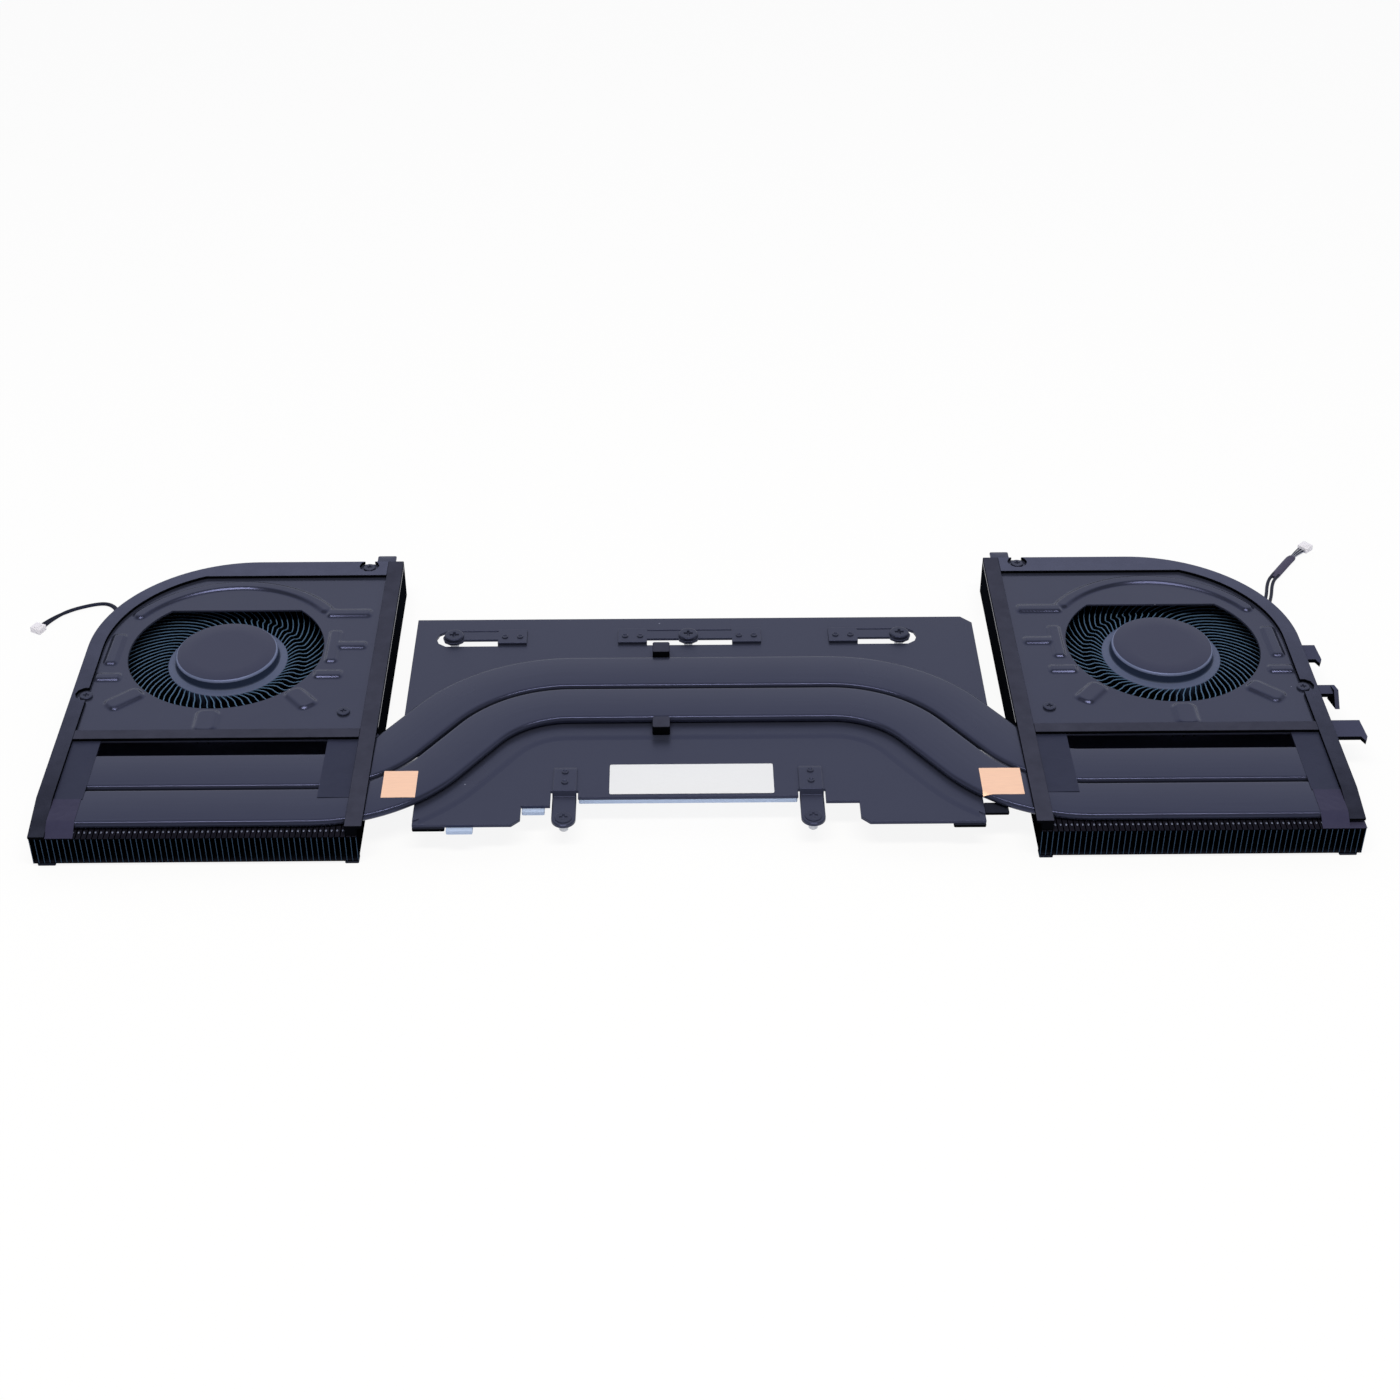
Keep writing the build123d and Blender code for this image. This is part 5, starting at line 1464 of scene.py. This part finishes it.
class HEATSINK_OT_leads(bpy.types.Operator):
    """Fan leads on the table, with their white plugs"""
    bl_idname = "heatsink.leads"
    bl_label = "Leads and plugs"

    def execute(self, context):
        _, _, colour, _ = settings()
        wire = film_finish("black_wire", colour.wire, 0.45, 1.2 * MM, 0.02 * MM)
        sleeve = film_finish("grey_lead_sleeve", colour.sleeve, 0.45, 1.2 * MM, 0.05 * MM)
        pale = film_finish("pale_wire", linear("#8d91a0"), 0.45, 1.2 * MM, 0.02 * MM)
        nylon = soft_finish("white_nylon_plug", colour.plug, 0.5, 0.9 * MM, 0.002 * MM, 0.985, 1.01)
        for name, route, length, half_width, covered, flat, wires in LEADS:
            plug_piece = add_shell(name + "_plug_body", plug_shell(route), "plug", [nylon],
                                   [name + "_lead_plug"])
            line = lead_line(route)
            shell, bands = lead_shells(line, half_width, covered, flat, wires)
            around = sleeve if name == "right" else wire
            piece = add_shell(name + "_lead_strands", shell, "lead", [wire, around, pale],
                              [name + "_fan_lead"], bands=bands)
        return {"FINISHED"}


# Motors inside the hubs


class HEATSINK_OT_motors(bpy.types.Operator):
    """Finishes of the shafts, bearings, stators and magnets, which keep their CAD shapes"""
    bl_idname = "heatsink.motors"
    bl_label = "Motors"

    def execute(self, context):
        finishes = {
            "motor_shaft": metal_finish(
                "ground_steel_shaft", linear("#b9bcc2"), 0.25, 1.0, 0.2 * MM),
            "bearing_tube": metal_finish("sintered_bronze", linear("#b08a52"), 0.4, 1.0, 0.3 * MM),
            "stator": metal_finish("stacked_silicon_steel", linear("#6b6f78"), 0.45, 1.0, 0.3 * MM),
            "magnet_ring": moulded_finish("bonded_ferrite", linear("#2a2a2e"), 0.6),
        }
        for name, _ in SIDES:
            for kind, finish in finishes.items():
                node = frame["nodes"][name + "_" + kind]
                node.data.materials.clear()
                node.data.materials.append(finish)
        return {"FINISHED"}


# Stage

ROOM_DIM = (0.1, 0.1, 0.11, 1.0)
ROOM_BAND = (0.7, 0.71, 0.74, 1.0)
ROOM_PANEL = (0.86, 0.88, 0.95, 1.0)
ROOM_FRONT = 0.6                 # share of the band's light that is left in front
FLOOR_REACH = 4.0
FLOOR_GLOW = 0.9                 # share of the floor that shows white to the camera
SOFTBOX_SIZE = (0.9, 0.16)
SOFTBOX_PLACE = Vector((0.0, -0.27, 0.97))
SOFTBOX_TINT = (1.0, 0.95, 0.85)
SENSOR_WIDTH = 36.0              # camera sensor in millimetres


def world_light():
    """Studio room: a bright panel behind, a pale band low at the sides, and dim elsewhere.

    The band is fainter in front; the changes between the parts are soft."""
    world = bpy.data.worlds.new("Studio")
    bpy.context.scene.world = world
    world.use_nodes = True
    tree = world.node_tree
    background = tree.nodes["Background"]
    way = add_node(tree, "ShaderNodeSeparateXYZ", {
        "Vector": add_node(tree, "ShaderNodeTexCoord").outputs["Generated"]})
    rear = add_node(tree, "ShaderNodeMapRange", {
        "Value": way.outputs["Y"], "From Min": 0.05, "From Max": 0.5},
        interpolation_type="SMOOTHSTEP")
    low = add_node(tree, "ShaderNodeMapRange", {
        "Value": way.outputs["Z"], "From Min": 0.7, "From Max": 0.3},
        interpolation_type="SMOOTHSTEP")
    front = add_node(tree, "ShaderNodeMapRange", {
        "Value": way.outputs["Y"], "From Min": -0.7, "From Max": -0.1, "To Min": ROOM_FRONT},
        interpolation_type="SMOOTHSTEP")
    low = add_node(tree, "ShaderNodeMath", {
        0: low.outputs["Result"], 1: front.outputs["Result"]}, operation="MULTIPLY")
    band = add_node(tree, "ShaderNodeMix", {
        0: low.outputs[0], 6: ROOM_DIM, 7: ROOM_BAND}, data_type="RGBA")
    panel = add_node(tree, "ShaderNodeMix", {
        0: rear.outputs["Result"], 6: band.outputs[2], 7: ROOM_PANEL}, data_type="RGBA")
    tree.links.new(panel.outputs[2], background.inputs["Color"])
    background.inputs["Strength"].default_value = 1.0


def floor_finish(colour):
    """Pale floor: it shows white to the camera and in reflections, and keeps a soft shadow."""
    finish = bpy.data.materials.new("pale_floor")
    finish.use_nodes = True
    tree = finish.node_tree
    tree.nodes.remove(tree.nodes["Principled BSDF"])
    paint = add_node(tree, "ShaderNodeBsdfDiffuse", {"Color": (*colour, 1.0)})
    glow = add_node(tree, "ShaderNodeEmission", {"Color": (1.0, 1.0, 1.0, 1.0), "Strength": 1.0})
    path = add_node(tree, "ShaderNodeLightPath")
    seen = add_node(tree, "ShaderNodeMath", {
        0: path.outputs["Is Camera Ray"], 1: path.outputs["Is Glossy Ray"]}, operation="MAXIMUM")
    seen = add_node(tree, "ShaderNodeMath", {
        0: seen.outputs[0], 1: path.outputs["Is Transmission Ray"]}, operation="MAXIMUM")
    part = add_node(tree, "ShaderNodeMath", {
        0: seen.outputs[0], 1: FLOOR_GLOW}, operation="MULTIPLY")
    blend = add_node(tree, "ShaderNodeMixShader", {
        0: part.outputs[0], 1: paint.outputs[0], 2: glow.outputs[0]})
    tree.links.new(blend.outputs[0], tree.nodes["Material Output"].inputs["Surface"])
    return finish


def camera_turn(stage):
    """Camera's axes from its tilt down, its turn to the right and its roll."""
    level_share = math.cos(stage.pitch)
    forward = Vector((math.sin(stage.yaw) * level_share, math.cos(stage.yaw) * level_share,
                      -math.sin(stage.pitch)))
    level = Vector((math.cos(stage.yaw), -math.sin(stage.yaw), 0.0))
    upright = level.cross(forward)
    right = level * math.cos(stage.roll) + upright * math.sin(stage.roll)
    up = upright * math.cos(stage.roll) - level * math.sin(stage.roll)
    return Matrix((right, up, -forward)).transposed()


class HEATSINK_OT_stage(bpy.types.Operator):
    """Pale floor, soft studio light and the camera"""
    bl_idname = "heatsink.stage"
    bl_label = "Stage"

    def execute(self, context):
        _, _, _, stage = settings()
        scene = context.scene
        scene.view_settings.view_transform = "Standard"
        world_light()
        x, y = sheet_grid(-FLOOR_REACH, FLOOR_REACH, -FLOOR_REACH, FLOOR_REACH, 2, 2)
        mesh = bpy.data.meshes.new("floor")
        corners = np.stack([x, y, np.zeros_like(x)], axis=-1).reshape(-1, 3)
        mesh.from_pydata(corners.tolist(), [], grid_quads(2, 2).tolist())
        floor = bpy.data.objects.new("floor", mesh)
        scene.collection.objects.link(floor)
        mesh.materials.append(floor_finish(stage.floor))
        lamp = bpy.data.lights.new("front_softbox", "AREA")
        lamp.shape = "RECTANGLE"
        lamp.size, lamp.size_y = SOFTBOX_SIZE
        lamp.color = SOFTBOX_TINT
        lamp.energy = stage.softbox_power
        softbox = bpy.data.objects.new("front_softbox", lamp)
        scene.collection.objects.link(softbox)
        softbox.location = SOFTBOX_PLACE
        softbox.rotation_euler = SOFTBOX_PLACE.to_track_quat("Z", "Y").to_euler()
        view = bpy.data.cameras.new("camera")
        view.sensor_width = SENSOR_WIDTH
        view.lens = stage.lens
        camera = bpy.data.objects.new("camera", view)
        scene.collection.objects.link(camera)
        camera.matrix_world = Matrix.Translation(stage.place) @ camera_turn(stage).to_4x4()
        scene.camera = camera
        return {"FINISHED"}


OPERATORS = (
    HEATSINK_OT_stage,
    HEATSINK_OT_leads,
    HEATSINK_OT_heat_pipes,
    HEATSINK_OT_fan_covers,
    HEATSINK_OT_impellers,
    HEATSINK_OT_fin_stacks,
    HEATSINK_OT_housings,
    HEATSINK_OT_plate_and_springs,
    HEATSINK_OT_screws_and_rivets,
    HEATSINK_OT_gaskets,
    HEATSINK_OT_films_and_foils,
    HEATSINK_OT_label_and_pads,
    HEATSINK_OT_motors,
)
GROUPS = (
    ("heatsink_module", ModuleSizes),
    ("heatsink_pipe", PipeSizes),
    ("heatsink_colour", FinishColours),
    ("heatsink_stage", StageSettings),
)


class HEATSINK_PT_pieces(bpy.types.Panel):
    """Lists the pieces of the heatsink"""
    bl_idname = "HEATSINK_PT_pieces"
    bl_label = "Heatsink pieces"
    bl_space_type = "VIEW_3D"
    bl_region_type = "UI"
    bl_category = "Heatsink"

    def draw(self, context):
        for kind in OPERATORS:
            self.layout.operator(kind.bl_idname)


def register():
    for name, group in GROUPS:
        bpy.utils.register_class(group)
        setattr(bpy.types.Scene, name, bpy.props.PointerProperty(type=group))
    for kind in OPERATORS + (HEATSINK_PT_pieces,):
        bpy.utils.register_class(kind)


def unregister():
    for kind in (HEATSINK_PT_pieces,) + OPERATORS[::-1]:
        bpy.utils.unregister_class(kind)
    for name, group in GROUPS[::-1]:
        delattr(bpy.types.Scene, name)
        bpy.utils.unregister_class(group)


def main():
    """Registers the add-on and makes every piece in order."""
    register()
    for kind in OPERATORS:
        group, name = kind.bl_idname.split(".")
        getattr(getattr(bpy.ops, group), name)()


if __name__ == "__main__":
    main()
